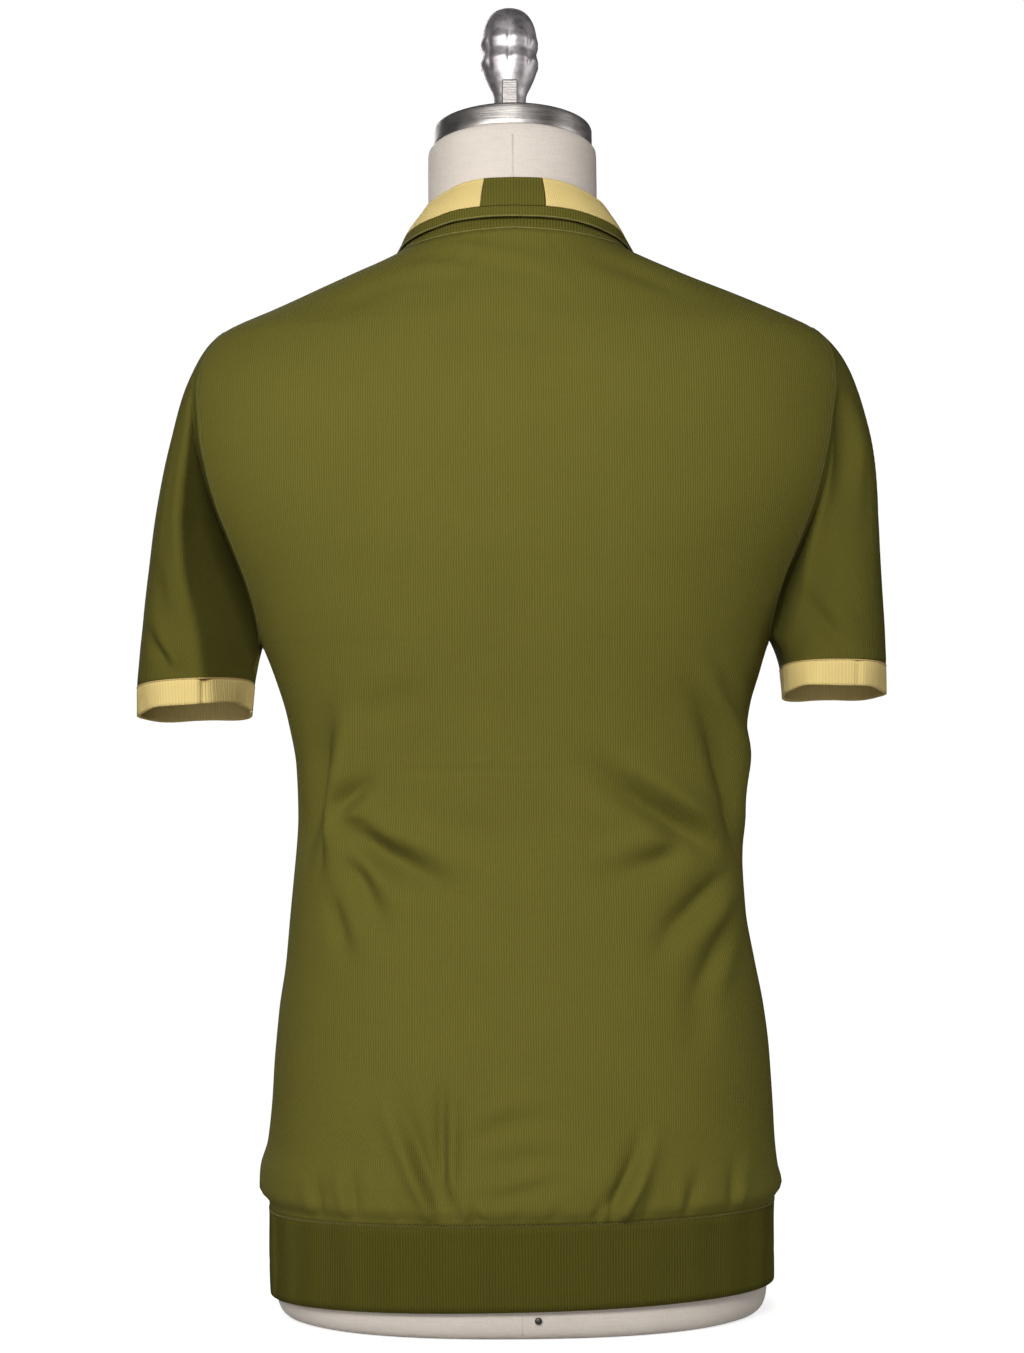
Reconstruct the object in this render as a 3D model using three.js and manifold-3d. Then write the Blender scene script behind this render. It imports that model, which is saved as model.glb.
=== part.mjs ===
import * as THREE from "three";
import { mergeVertices } from "three/addons/utils/BufferGeometryUtils.js";
import Module from "manifold-3d";

// A short-sleeved polo shirt on a limbless dress form, in millimetres.
// The garment's front faces -Y and its back +Y. The wearer's left is +X. The form stands on z = 0.

const wasm = await Module();
wasm.setup();

// Walls and gaps of the cloth
const JERSEY = 1.4;
const RIB = 1.8;
const COLLAR = 1.5;
const SEAM = 0.3;

// Heights of the garment
const RIB_SEAM = 76.5;
const HEM = 20;
const ARMPIT = 458;
const SHOULDER_TIP = 669.5;
const COLLAR_LEAN = 1.06;
const NECKBAND_HEIGHT = 8;
const CUFF_HEIGHT = 17.5;
const EDGING = 7;

// Placket of the front
const PLACKET_HALF = 16;
const PLACKET_END = 498;
const PLACKET_TOP = 699.5;
const PLACKET_WALL = 1.2;
const BUTTON_RADIUS = 5.6;
const BUTTON_HEIGHTS = [676, 612, 545];

// Neck of the form: a cylinder that leans to the front
const NECK_RADIUS = 58.2;
const NECK_LEAN = 0.2126;
const NECK_TOP = 796;
const NECK_START = 735;

const GREEN = { color: 0x66612a, roughness: 0.9, metalness: 0 };
const DARK_GREEN = { color: 0x4c481d, roughness: 0.9, metalness: 0 };
const YELLOW = { color: 0xd4bd80, roughness: 0.9, metalness: 0 };
const LINEN = { color: 0xd1c9be, roughness: 0.95, metalness: 0 };
const METAL = { color: 0xa5a09d, roughness: 0.4, metalness: 0.9 };
const BUTTON = { color: 0x5c5728, roughness: 0.4, metalness: 0 };

// Garment sections: height, half width to the wearer's left and right, depth to the back and front, roundness
const GARMENT = [
  [0, 171.5, 172.5, 121, 112, 2.3],
  [60, 171.5, 172.5, 121.5, 112, 2.3],
  [77, 172, 173, 122.5, 113, 2.3],
  [87, 178.6, 178.4, 127.5, 118, 2.3],
  [99, 178, 175.6, 127.5, 118, 2.3],
  [118, 172.5, 173.6, 124.5, 116, 2.3],
  [142, 169.8, 172.5, 121.5, 113, 2.3],
  [174, 167.6, 171, 117.5, 111, 2.3],
  [207, 164, 167, 112, 110, 2.3],
  [240, 159, 161, 106.5, 110, 2.3],
  [273, 156, 155.5, 102, 111, 2.3],
  [306, 152.5, 153.5, 98, 112, 2.3],
  [340, 150.2, 155, 95.5, 113, 2.3],
  [372, 151.2, 154.5, 96.5, 115, 2.3],
  [405, 156.5, 157.5, 100, 118, 2.3],
  [438, 166.5, 167, 106, 121, 2.28],
  [458, 174.5, 173.5, 110, 123, 2.25],
  [481, 184, 183, 114, 125, 2.22],
  [500, 193, 192, 116.5, 126, 2.2],
  [525, 206, 206, 119.5, 126.5, 2.2],
  [550, 218, 218, 121, 125.5, 2.2],
  [575, 226, 226, 121.5, 123, 2.16],
  [600, 230, 230.5, 120.5, 118, 2.1],
  [625, 229, 231.5, 116.5, 107, 2.05],
  [640, 225, 229, 112, 97.5, 2],
  [655, 216, 223, 106, 87, 1.93],
  [669, 202.5, 209, 99, 78, 1.87],
  [686, 166, 173, 90, 69, 1.8],
  [703, 127.5, 132.5, 82, 65, 1.8],
  [711, 109, 111.8, 77.5, 64, 1.85],
  [719, 90.2, 92.6, 73, 63.2, 1.9],
  [727, 75.4, 77, 69.2, 62.6, 1.95],
  [734, 70.2, 71.8, 66.3, 62, 2],
  [742, 67.9, 69, 62.6, 61.8, 2],
  [752, 66.5, 67.5, 60.2, 61.6, 2],
];

// Form sections: height, half width, depth to the back and front, roundness
const FORM = [
  [0, 158, 108, 101, 2.3],
  [1.5, 162.3, 112.3, 105, 2.3],
  [5, 165.6, 115.4, 107.6, 2.3],
  [11, 167.6, 117.2, 109, 2.3],
  [22, 168.4, 118, 109.3, 2.3],
  [76, 168.6, 118.4, 109.5, 2.3],
  [120, 167, 118, 110.5, 2.3],
  [174, 163.4, 113.5, 107, 2.3],
  [207, 159.6, 108.2, 106, 2.3],
  [240, 153.2, 99.5, 104.6, 2.3],
  [273, 148.4, 93.2, 104.4, 2.3],
  [306, 144.4, 88.2, 104.6, 2.3],
  [340, 141.6, 85.6, 105.2, 2.3],
  [372, 142.6, 86.6, 107.4, 2.3],
  [405, 149, 91.8, 111.4, 2.3],
  [438, 159.8, 101, 116.2, 2.28],
  [470, 169, 109.4, 120.8, 2.24],
  [500, 175, 113.5, 122.6, 2.2],
  [550, 184, 118, 122, 2.2],
  [600, 193, 117.6, 114.6, 2.1],
  [640, 200.5, 109.2, 93, 2],
  [655, 200.5, 103.2, 81.6, 1.93],
  [669, 192.5, 96.2, 72, 1.87],
  [686, 157.5, 86.4, 63, 1.76],
  [703, 118.5, 77.6, 60, 1.7],
  [711, 100, 73.2, 59.4, 1.66],
  [719, 82.5, 69, 59.2, 1.64],
  [727, 69.5, 66.4, 59.2, 1.68],
  [735, 62.7, 62.6, 59.4, 1.82],
  [745, 58.9, 60, 59.6, 1.96],
  [757, 58.2, 58.6, 58.6, 2],
];

// Half of an armhole: how far it reaches round the section from the side, in degrees, on the back and the front
const ARMHOLE_BACK = 24.5;
const ARMHOLE_FRONT = 27.5;

// Height of the neck seam by turn round the section: 90 is the centre back, -90 the centre front
const NECKLINE = [
  [-90, 692],
  [-60, 702],
  [-30, 716],
  [0, 726.5],
  [30, 728.6],
  [60, 732],
  [90, 734],
];

// Turns of the columns that the panels, the neckband and the collar share at the neck, up to the middle
const BACK_TURNS = [0, 15, 30, 45, 59, 72.6, 90];
const FRONT_TURNS = [0, -15, -31, -48, -65, -80, -90];
const STRIPE_END = 17.4;

// The collar by angle from the centre back: its fold (x, y, z), then its lower edge as turn and height on
// the garment's surface, and how far the edge stands off that surface
const COLLAR_LINE = [
  [0, 0, 56.6, 766.6, 90, 740, 6],
  [15, 16, 54.6, 766.4, 75, 739.8, 6],
  [30, 31, 48.6, 764.6, 60, 739, 5.2],
  [48, 45.6, 37.8, 759.4, 42, 735.8, 4],
  [66, 56.8, 23, 753.4, 24, 732, 3.2],
  [90, 62.6, -3, 746, 3, 727, 3],
  [110, 61.4, -24, 737.5, -33, 715, 3.4],
  [130, 53.6, -44, 727, -56, 691, 3.8],
  [150, 38, -60, 715.5, -69, 664, 3.8],
  [170, 12, -70.5, 704.5, -79, 641, 3.8],
];

// Folds of the cloth: which face, depth (a negative one is a ridge), width, lift beside it on the left of its course
// for someone who looks at that face, and its course as x and z from end to end
const FOLDS = [
  { face: 1, depth: 5.5, width: 8, lift: 0.9, line: [[122, 412], [130, 384], [134, 358], [141, 325], [144, 292]] },
  { face: 1, depth: 4, width: 7, lift: 0.4, line: [[92, 364], [119, 347], [117, 334]] },
  { face: 1, depth: 6.5, width: 7, lift: 0.7, line: [[112, 337], [87, 320], [73, 312], [44, 292]] },
  { face: 1, depth: 4, width: 7, lift: 0.5, line: [[117, 311], [94, 281], [84, 262]] },
  { face: 1, depth: 3, width: 8, lift: 0.4, line: [[126, 290], [109, 240]] },
  { face: 1, depth: 6.5, width: 7.5, lift: 0.8, line: [[-42, 377], [-64, 360], [-83, 351], [-102, 337], [-134, 312]] },
  { face: 1, depth: 4, width: 8, lift: 0.6, line: [[-113, 427], [-131, 397], [-137, 380], [-142, 360], [-142, 330]] },
  { face: 1, depth: 3, width: 7, lift: 0.5, line: [[-50, 307], [-95, 311], [-112, 317]] },
  { face: 1, depth: 3.6, width: 8, lift: 0.5, line: [[-136, 297], [-117, 280], [-101, 266], [-90, 248]] },
  { face: 1, depth: 2.6, width: 9, lift: 0.4, line: [[-142, 268], [-103, 198]] },
  { face: 1, depth: 2.4, width: 6, lift: 0.6, line: [[58, 712], [20, 710], [-3, 705], [-32, 700]] },
  { face: 1, depth: 1.8, width: 6, lift: 0.5, line: [[82, 702], [50, 714]] },
  { face: 1, depth: 3, width: 6, lift: 0.5, line: [[107, 79], [112, 118]] },
  { face: 1, depth: 4.5, width: 6, lift: 0.7, line: [[50, 79], [56, 104], [70, 136], [78, 168]] },
  { face: 1, depth: 3.2, width: 6, lift: 0.4, line: [[46, 79], [50, 114], [50, 175]] },
  { face: 1, depth: 3.6, width: 6, lift: 0.7, line: [[-53, 79], [-67, 105], [-80, 135]] },
  { face: 1, depth: 3, width: 7, lift: 0.5, line: [[-104, 80], [-118, 108]] },
  { face: 1, depth: 2.4, width: 6, lift: 0.4, line: [[-134, 80], [-140, 114]] },
  { face: 1, depth: 2, width: 8, lift: 0.3, line: [[46, 130], [5, 137], [-30, 143]] },
  { face: -1, depth: 5, width: 9, lift: 0.7, line: [[128, 402], [110, 372], [82, 350], [48, 338]] },
  { face: -1, depth: 4, width: 9, lift: 0.6, line: [[-130, 380], [-104, 352], [-66, 336]] },
  { face: -1, depth: 3.5, width: 9, lift: 0.5, line: [[138, 318], [112, 296], [90, 262]] },
  { face: -1, depth: 3.5, width: 8, lift: 0.5, line: [[-84, 80], [-92, 112], [-96, 140]] },
  { face: -1, depth: 3.5, width: 8, lift: 0.5, line: [[62, 80], [66, 108], [76, 138]] },
];

// Folds of the sleeves, in the same columns
const SLEEVE_FOLDS = [
  { face: 1, depth: -6, width: 11, lift: 0, line: [[217, 640], [223, 602], [229, 571], [231, 540], [226, 500], [218, 466], [215, 436]] },
  { face: 1, depth: 4, width: 8, lift: 0.4, line: [[216, 620], [212, 580], [214, 540], [205, 500]] },
  { face: 1, depth: 3, width: 7, lift: 0.4, line: [[249, 474], [237, 456], [226, 438]] },
  { face: 1, depth: 3.5, width: 8, lift: 0.8, line: [[-226, 632], [-227, 594], [-222, 552]] },
  { face: 1, depth: -4, width: 8, lift: 0, line: [[-238, 620], [-242, 560], [-244, 500]] },
  { face: 1, depth: 4, width: 9, lift: 0.6, line: [[-187, 500], [-209, 465], [-228, 440]] },
  { face: -1, depth: -5, width: 12, lift: 0, line: [[222, 620], [228, 560], [222, 500], [214, 438]] },
  { face: -1, depth: -5, width: 12, lift: 0, line: [[-222, 620], [-230, 560], [-224, 500], [-216, 446]] },
];

// Cuff rings: side, centre x and y, half width, half depth, height, its slope along x and y, and how the sleeve
// leaves its armhole at the shoulder and leans at the cuff
const CUFFS = {
  left: { side: 1, x: 221, y: -4, half: 38.9, deep: 57, z: 427.5, alongX: -0.04, alongY: 0.12, reach: 26, lean: -0.08 },
  right: { side: -1, x: -218, y: -4, half: 35, deep: 56, z: 437.5, alongX: 0.01, alongY: 0.11, reach: 35, lean: -0.02 },
};
const CUFF_ROUNDNESS = 2.5;

const radians = (degrees) => (degrees * Math.PI) / 180;

// Smooth value of a column at a key, without overshoot between the rows.
function at(table, key, column) {
  const last = table.length - 1;
  if (key <= table[0][0]) return table[0][column];
  if (key >= table[last][0]) return table[last][column];
  let i = 0;
  while (table[i + 1][0] < key) i += 1;
  const rise = (k) => (table[k + 1][column] - table[k][column]) / (table[k + 1][0] - table[k][0]);
  const slope = (k) => {
    if (k === 0) return rise(0);
    if (k === last) return rise(last - 1);
    const before = rise(k - 1);
    const after = rise(k);
    return before * after <= 0 ? 0 : (2 * before * after) / (before + after);
  };
  const span = table[i + 1][0] - table[i][0];
  const t = (key - table[i][0]) / span;
  const a = table[i][column];
  const b = table[i + 1][column];
  const t2 = t * t;
  const t3 = t2 * t;
  return (
    a * (2 * t3 - 3 * t2 + 1) +
    b * (3 * t2 - 2 * t3) +
    slope(i) * span * (t3 - 2 * t2 + t) +
    slope(i + 1) * span * (t3 - t2)
  );
}

function oval(turn, left, right, back, front, round) {
  const c = Math.cos(turn);
  const s = Math.sin(turn);
  const power = 2 / round;
  const x = Math.sign(c) * (c > 0 ? left : right) * Math.abs(c) ** power;
  const y = Math.sign(s) * (s > 0 ? back : front) * Math.abs(s) ** power;
  return [x, y];
}

// A point of the garment's surface by turn round the section and height.
function garment(turn, z) {
  const [left, right, back, front, round] = [1, 2, 3, 4, 5].map((column) => at(GARMENT, z, column));
  const [x, y] = oval(turn, left, right, back, front, round);
  return new THREE.Vector3(x, y, z);
}

// The outward direction of the garment's surface.
function outward(turn, z) {
  const step = 0.03;
  const round = garment(turn + step, z).sub(garment(turn - step, z));
  const up = garment(turn, z + 2).sub(garment(turn, z - 2));
  return round.cross(up).normalize();
}

function form(turn, z) {
  const [half, back, front, round] = [1, 2, 3, 4].map((column) => at(FORM, z, column));
  const [x, y] = oval(turn, half, half, back, front, round);
  const lean = -NECK_LEAN * Math.max(0, z - NECK_START) * Math.min(1, (z - NECK_START) / 22);
  return new THREE.Vector3(x, y + lean, z);
}

// Signed distance of a place from a line in the x, z plane, with how far along the line it is.
function fromLine(x, z, line) {
  let best = { gap: Infinity, side: 1, along: 0 };
  const lengths = [0];
  for (let i = 1; i < line.length; i += 1) {
    const [ax, az] = line[i - 1];
    const [bx, bz] = line[i];
    lengths.push(lengths[i - 1] + Math.hypot(bx - ax, bz - az));
  }
  for (let i = 1; i < line.length; i += 1) {
    const [ax, az] = line[i - 1];
    const [bx, bz] = line[i];
    const long = lengths[i] - lengths[i - 1];
    const share = ((x - ax) * (bx - ax) + (z - az) * (bz - az)) / (long * long);
    const t = Math.min(1, Math.max(0, share));
    const gap = Math.hypot(x - ax - t * (bx - ax), z - az - t * (bz - az));
    if (gap < best.gap) {
      const side = Math.sign((bx - ax) * (z - az) - (bz - az) * (x - ax)) || 1;
      best = { gap, side, along: (lengths[i - 1] + t * long) / lengths[line.length - 1] };
    }
  }
  return best;
}

// How far the folds push a place in (below zero) or out.
function folding(folds, point, normal) {
  let push = 0;
  for (const fold of folds) {
    const facing = normal.y * fold.face;
    if (facing < 0.02) continue;
    const { gap, side, along } = fromLine(point.x, point.z, fold.line);
    if (gap > 4 * fold.width) continue;
    const taper = Math.sin(Math.PI * Math.min(1, Math.max(0, 0.08 + 0.84 * along))) ** 0.6;
    const trough = Math.exp(-((gap / fold.width) ** 2));
    const beside = Math.exp(-(((-fold.face * side * gap - 1.7 * fold.width) / (1.1 * fold.width)) ** 2));
    push += taper * Math.min(1, facing * 4) * fold.depth * (0.6 * fold.lift * beside - trough);
  }
  return push;
}

// A closed wall about a sheet of points. closed joins the last column to the first.
function wall(rows, normals, thick, closed = false) {
  const tall = rows.length;
  const wide = rows[0].length;
  const positions = [];
  for (const sign of [0.5, -0.5]) {
    for (let j = 0; j < tall; j += 1) {
      for (let i = 0; i < wide; i += 1) {
        const p = rows[j][i].clone().addScaledVector(normals[j][i], sign * thick);
        positions.push(p.x, p.y, p.z);
      }
    }
  }
  const id = (face, j, i) => (face * tall + j) * wide + (closed ? i % wide : i);
  const across = closed ? wide : wide - 1;
  const index = [];
  const quad = (a, b, c, d) => index.push(a, b, c, a, c, d);
  for (let j = 0; j < tall - 1; j += 1) {
    for (let i = 0; i < across; i += 1) {
      quad(id(0, j, i), id(0, j, i + 1), id(0, j + 1, i + 1), id(0, j + 1, i));
      quad(id(1, j, i), id(1, j + 1, i), id(1, j + 1, i + 1), id(1, j, i + 1));
    }
  }
  for (let i = 0; i < across; i += 1) {
    quad(id(0, 0, i), id(1, 0, i), id(1, 0, i + 1), id(0, 0, i + 1));
    quad(id(0, tall - 1, i), id(0, tall - 1, i + 1), id(1, tall - 1, i + 1), id(1, tall - 1, i));
  }
  if (!closed) {
    for (let j = 0; j < tall - 1; j += 1) {
      quad(id(0, j, 0), id(0, j + 1, 0), id(1, j + 1, 0), id(1, j, 0));
      quad(id(0, j, wide - 1), id(1, j, wide - 1), id(1, j + 1, wide - 1), id(0, j + 1, wide - 1));
    }
  }
  return outsideOut(positions, index);
}

// A closed body from rings, each with its own centre at both ends.
function stack(rings) {
  const wide = rings[0].length;
  const positions = rings.flat().flatMap((p) => [p.x, p.y, p.z]);
  const index = [];
  for (let j = 0; j < rings.length - 1; j += 1) {
    for (let i = 0; i < wide; i += 1) {
      const next = (i + 1) % wide;
      const a = j * wide + i;
      const b = j * wide + next;
      index.push(a, b, b + wide, a, b + wide, a + wide);
    }
  }
  for (const [ring, flip] of [[0, true], [rings.length - 1, false]]) {
    const centre = rings[ring].reduce((sum, p) => sum.add(p), new THREE.Vector3()).divideScalar(wide);
    const c = positions.length / 3;
    positions.push(centre.x, centre.y, centre.z);
    for (let i = 0; i < wide; i += 1) {
      const a = ring * wide + i;
      const b = ring * wide + ((i + 1) % wide);
      index.push(c, flip ? b : a, flip ? a : b);
    }
  }
  return outsideOut(positions, index);
}

// The geometry with its faces pointing out of the body.
function outsideOut(positions, index) {
  let volume = 0;
  const a = new THREE.Vector3();
  const b = new THREE.Vector3();
  const c = new THREE.Vector3();
  for (let i = 0; i < index.length; i += 3) {
    a.fromArray(positions, 3 * index[i]);
    b.fromArray(positions, 3 * index[i + 1]);
    c.fromArray(positions, 3 * index[i + 2]);
    volume += a.dot(b.clone().cross(c));
  }
  const turned = volume > 0 ? index : index.slice().reverse();
  const geometry = new THREE.BufferGeometry();
  geometry.setAttribute("position", new THREE.Float32BufferAttribute(positions, 3));
  geometry.setIndex(turned);
  return geometry;
}

// Directions across a sheet of points, from its neighbours.
function sheetNormals(rows, closed) {
  const wide = rows[0].length;
  return rows.map((row, j) =>
    row.map((_, i) => {
      const before = closed ? row[(i + wide - 1) % wide] : row[Math.max(0, i - 1)];
      const after = closed ? row[(i + 1) % wide] : row[Math.min(wide - 1, i + 1)];
      const below = rows[Math.max(0, j - 1)][i];
      const above = rows[Math.min(rows.length - 1, j + 1)][i];
      return after.clone().sub(before).cross(above.clone().sub(below)).normalize();
    }),
  );
}

// The edge of the left armhole by the angle round it: 0 at the shoulder tip, 180 at the armpit, the back first.
function armhole(angle) {
  const reach = Math.sin(angle) >= 0 ? ARMHOLE_BACK : -ARMHOLE_FRONT;
  return {
    turn: radians(reach) * Math.abs(Math.sin(angle)) ** 0.75,
    z: (SHOULDER_TIP + ARMPIT) / 2 + ((SHOULDER_TIP - ARMPIT) / 2) * Math.cos(angle),
  };
}

const mirrored = (turn, side) => (side > 0 ? turn : Math.PI - turn);
const ribSeam = (turn) => RIB_SEAM - 2 * Math.cos(turn) - 3 * Math.cos(turn) ** 4;
const hem = (turn) => HEM - 3.6 * Math.cos(turn) - 2 * Math.cos(turn) ** 4;
const neckline = (turn) => at(NECKLINE, (Math.asin(Math.sin(turn)) * 180) / Math.PI, 1);

// A body panel as turn and height over a grid. face is 1 for the back and -1 for the front. Its sides run up
// the side seam, round the armhole and along the shoulder seam. Its top is the neckline.
function panelPlan(face, sideRows, armRows, shoulderRows) {
  const half = face > 0 ? BACK_TURNS : FRONT_TURNS;
  const neck = [...half, ...half.slice(0, -1).reverse().map((turn) => face * 180 - turn)].map(radians);
  const columns = 2 * (neck.length - 1);
  const tall = sideRows + armRows + shoulderRows;
  const edge = face * 0.0012;
  const low = (turn) => ribSeam(turn) + SEAM / 2;
  const high = (turn) => neckline(turn) - SEAM / 2;
  const neckTurn = (i) => (i % 2 ? (neck[(i - 1) / 2] + neck[(i + 1) / 2]) / 2 : neck[i / 2]);
  const side = (j) => {
    if (j <= sideRows) return [0, low(0) + (ARMPIT - low(0)) * (j / sideRows)];
    if (j <= sideRows + armRows) {
      const place = armhole(face * Math.PI * (1 - (j - sideRows) / armRows));
      return [place.turn, place.z];
    }
    return [0, SHOULDER_TIP + (high(0) - SHOULDER_TIP) * ((j - sideRows - armRows) / shoulderRows)];
  };
  const plan = [];
  for (let j = 0; j <= tall; j += 1) {
    const v = j / tall;
    const [turn, z] = side(j);
    const row = [];
    for (let i = 0; i <= columns; i += 1) {
      const u = i / columns;
      const flat = face * Math.PI * u;
      const across = flat + v * v * (neckTurn(i) - flat) + (1 - 2 * u) * turn;
      const rise = Math.max(0, 1 - j / sideRows) * (low(flat) - low(0)) + v ** 3 * (high(neckTurn(i)) - high(0));
      const limit = [edge, face * Math.PI - edge].sort((a, b) => a - b);
      row.push([Math.min(limit[1], Math.max(limit[0], across)), z + rise]);
    }
    plan.push(row);
  }
  return plan;
}

// Points and directions of a plan on the garment's surface, with the folds in it but not at its edges.
function draped(plan, folds, fadeRows) {
  const tall = plan.length - 1;
  const points = [];
  const normals = [];
  for (let j = 0; j <= tall; j += 1) {
    const row = [];
    const across = [];
    for (let i = 0; i < plan[j].length; i += 1) {
      const [turn, z] = plan[j][i];
      const normal = outward(turn, z);
      const point = garment(turn, z);
      const inside = Math.min(1, Math.min(j, tall - j, i, plan[j].length - 1 - i) / fadeRows);
      point.addScaledVector(normal, inside * folding(folds, point, normal));
      row.push(point);
      across.push(normal);
    }
    points.push(row);
    normals.push(across);
  }
  // The neckline is straight between the columns that it shares with the neckband
  const top = points[tall];
  for (let i = 1; i < top.length; i += 2) top[i].copy(top[i - 1]).lerp(top[i + 1], 0.5);
  return [points, normals];
}

function bezier(a, b, c, d, t) {
  const s = 1 - t;
  return a
    .clone()
    .multiplyScalar(s * s * s)
    .addScaledVector(b, 3 * s * s * t)
    .addScaledVector(c, 3 * s * t * t)
    .addScaledVector(d, t * t * t);
}

// A place on the ring where a sleeve meets its cuff, and the outward direction there.
function cuffRing(cuff, angle, drop = 0) {
  const bulged = (v) => Math.sign(v) * Math.abs(v) ** (2 / CUFF_ROUNDNESS);
  const c = bulged(Math.cos(angle));
  const s = bulged(Math.sin(angle));
  const shrink = 1 - 0.02 * (drop / CUFF_HEIGHT);
  const x = cuff.side * cuff.half * c * shrink;
  const y = cuff.deep * s * shrink;
  const z = cuff.z + cuff.alongX * x + cuff.alongY * y - drop;
  const steep = (v) => Math.sign(v) * Math.abs(v) ** (CUFF_ROUNDNESS - 1);
  const normal = new THREE.Vector3((cuff.side * steep(c)) / cuff.half, steep(s) / cuff.deep, 0).normalize();
  return [new THREE.Vector3(cuff.x + x, cuff.y + y, z), normal];
}

// A set-in sleeve: columns round the armhole, rows from the armhole to the cuff.
function sleeveSheet(cuff, columns, tall) {
  const rows = Array.from({ length: tall + 1 }, () => []);
  const starts = [];
  const middle = garment(mirrored(0, cuff.side), 565);
  for (let i = 0; i < columns; i += 1) {
    const angle = (2 * Math.PI * i) / columns;
    const place = (a) => {
      const edge = armhole(a);
      return garment(mirrored(edge.turn, cuff.side), edge.z);
    };
    const edge = armhole(angle);
    const normal = outward(mirrored(edge.turn, cuff.side), edge.z);
    const along = place(angle + 0.05).sub(place(angle - 0.05));
    const leave = along.cross(normal).normalize();
    const from = place(angle);
    if (leave.dot(middle.clone().sub(from)) < 0) leave.negate();
    from.addScaledVector(leave, SEAM);
    const [to, outside] = cuffRing(cuff, angle);
    const high = (1 + Math.cos(angle)) / 2;
    const first = 5 + cuff.reach * high ** 1.6;
    const second = 7 + 143 * high ** 1.8;
    const near = from.clone().addScaledVector(leave, first);
    const far = to.clone().addScaledVector(new THREE.Vector3(cuff.lean * cuff.side, 0, 1), second);
    for (let j = 0; j <= tall; j += 1) rows[j].push(bezier(from, near, far, to, j / tall));
    starts.push([normal, outside]);
  }
  const normals = sheetNormals(rows, true);
  const sign = normals[tall][0].dot(starts[0][1]) > 0 ? 1 : -1;
  normals.forEach((row, j) =>
    row.forEach((normal, i) => {
      normal.multiplyScalar(sign);
      const fade = Math.min(1, Math.min(j, tall - j) / 2);
      const given = j < tall / 2 ? starts[i][0] : starts[i][1];
      if (fade < 1) normal.lerp(given, 1 - fade).normalize();
      rows[j][i].addScaledVector(normal, fade * folding(SLEEVE_FOLDS, rows[j][i], normal));
    }),
  );
  return [rows, normals];
}

// Places on the neck seam side: the band follows the garment's surface up from the seam.
function bandPlace(turn, rise) {
  const z = neckline(turn) + rise;
  return [garment(turn, z), outward(turn, z)];
}

// The collar's middle line at an angle from the centre back: up the stand, over the fold, down the fall,
// or only the edging along the fall's end.
function collarLine(angle, side, edging) {
  const degrees = (angle * 180) / Math.PI;
  const value = (column) => at(COLLAR_LINE, degrees, column);
  const fold = new THREE.Vector3(side * value(1) * (side < 0 ? COLLAR_LEAN : 1), value(2), value(3));
  const seamTurn = mirrored(Math.PI / 2 - angle, side);
  const frontLift = 1.6 * Math.max(0, (degrees - 130) / 40);
  const [seam] = bandPlace(seamTurn, NECKBAND_HEIGHT + SEAM + frontLift);
  const edgeTurn = mirrored(radians(value(4)), side);
  const edge = garment(edgeTurn, value(5)).addScaledVector(outward(edgeTurn, value(5)), value(6));
  const out = new THREE.Vector3(fold.x, fold.y + 4, 0).normalize();
  const bend = 1.9;
  const inner = fold.clone().addScaledVector(out, -bend);
  const outer = fold.clone().addScaledVector(out, bend);
  const line = [];
  for (let k = 0; k <= 3; k += 1) line.push(seam.clone().lerp(inner, k / 3));
  for (const turn of [45, 90, 135]) {
    const c = Math.cos(radians(180 - turn));
    const s = Math.sin(radians(180 - turn));
    line.push(fold.clone().addScaledVector(out, bend * c).add(new THREE.Vector3(0, 0, bend * s)));
  }
  const long = outer.distanceTo(edge);
  const fall = (t) => outer.clone().lerp(edge, t).addScaledVector(out, 2.2 * Math.sin(Math.PI * t));
  if (edging) return [EDGING, EDGING / 2, 0].map((left) => fall(1 - left / long));
  for (let k = 0; k <= 5; k += 1) line.push(fall((k / 5) * (1 - (EDGING + SEAM) / long)));
  return line;
}

// A stretch of the collar over angles from the centre back, in degrees: below zero towards the right.
function collarWall(angles, edging) {
  const columns = angles.map((angle) => collarLine(radians(Math.abs(angle)), angle < 0 ? -1 : 1, edging));
  const rows = columns[0].map((_, j) => columns.map((column) => column[j]));
  return wall(rows, sheetNormals(rows, false), COLLAR);
}

function solid(geometry) {
  const clean = geometry.clone();
  clean.deleteAttribute("normal");
  clean.deleteAttribute("uv");
  const merged = mergeVertices(clean, 1e-4);
  return new wasm.Manifold(
    new wasm.Mesh({
      numProp: 3,
      vertProperties: new Float32Array(merged.attributes.position.array),
      triVerts: new Uint32Array(merged.index.array),
    }),
  );
}

function fromSolid(body) {
  const mesh = body.getMesh();
  const geometry = new THREE.BufferGeometry();
  geometry.setAttribute("position", new THREE.BufferAttribute(mesh.vertProperties, 3));
  geometry.setIndex(new THREE.BufferAttribute(mesh.triVerts, 1));
  return geometry;
}

function boxBetween(low, high) {
  const geometry = new THREE.BoxGeometry(high[0] - low[0], high[1] - low[1], high[2] - low[2]);
  geometry.translate((low[0] + high[0]) / 2, (low[1] + high[1]) / 2, (low[2] + high[2]) / 2);
  return geometry;
}

// The turn on the front where the surface has this x at this height.
function frontTurn(x, z) {
  const half = at(GARMENT, z, x > 0 ? 1 : 2);
  const round = at(GARMENT, z, 5);
  const c = (Math.abs(x) / half) ** (round / 2);
  return -Math.acos(Math.sign(x) * c);
}

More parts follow.
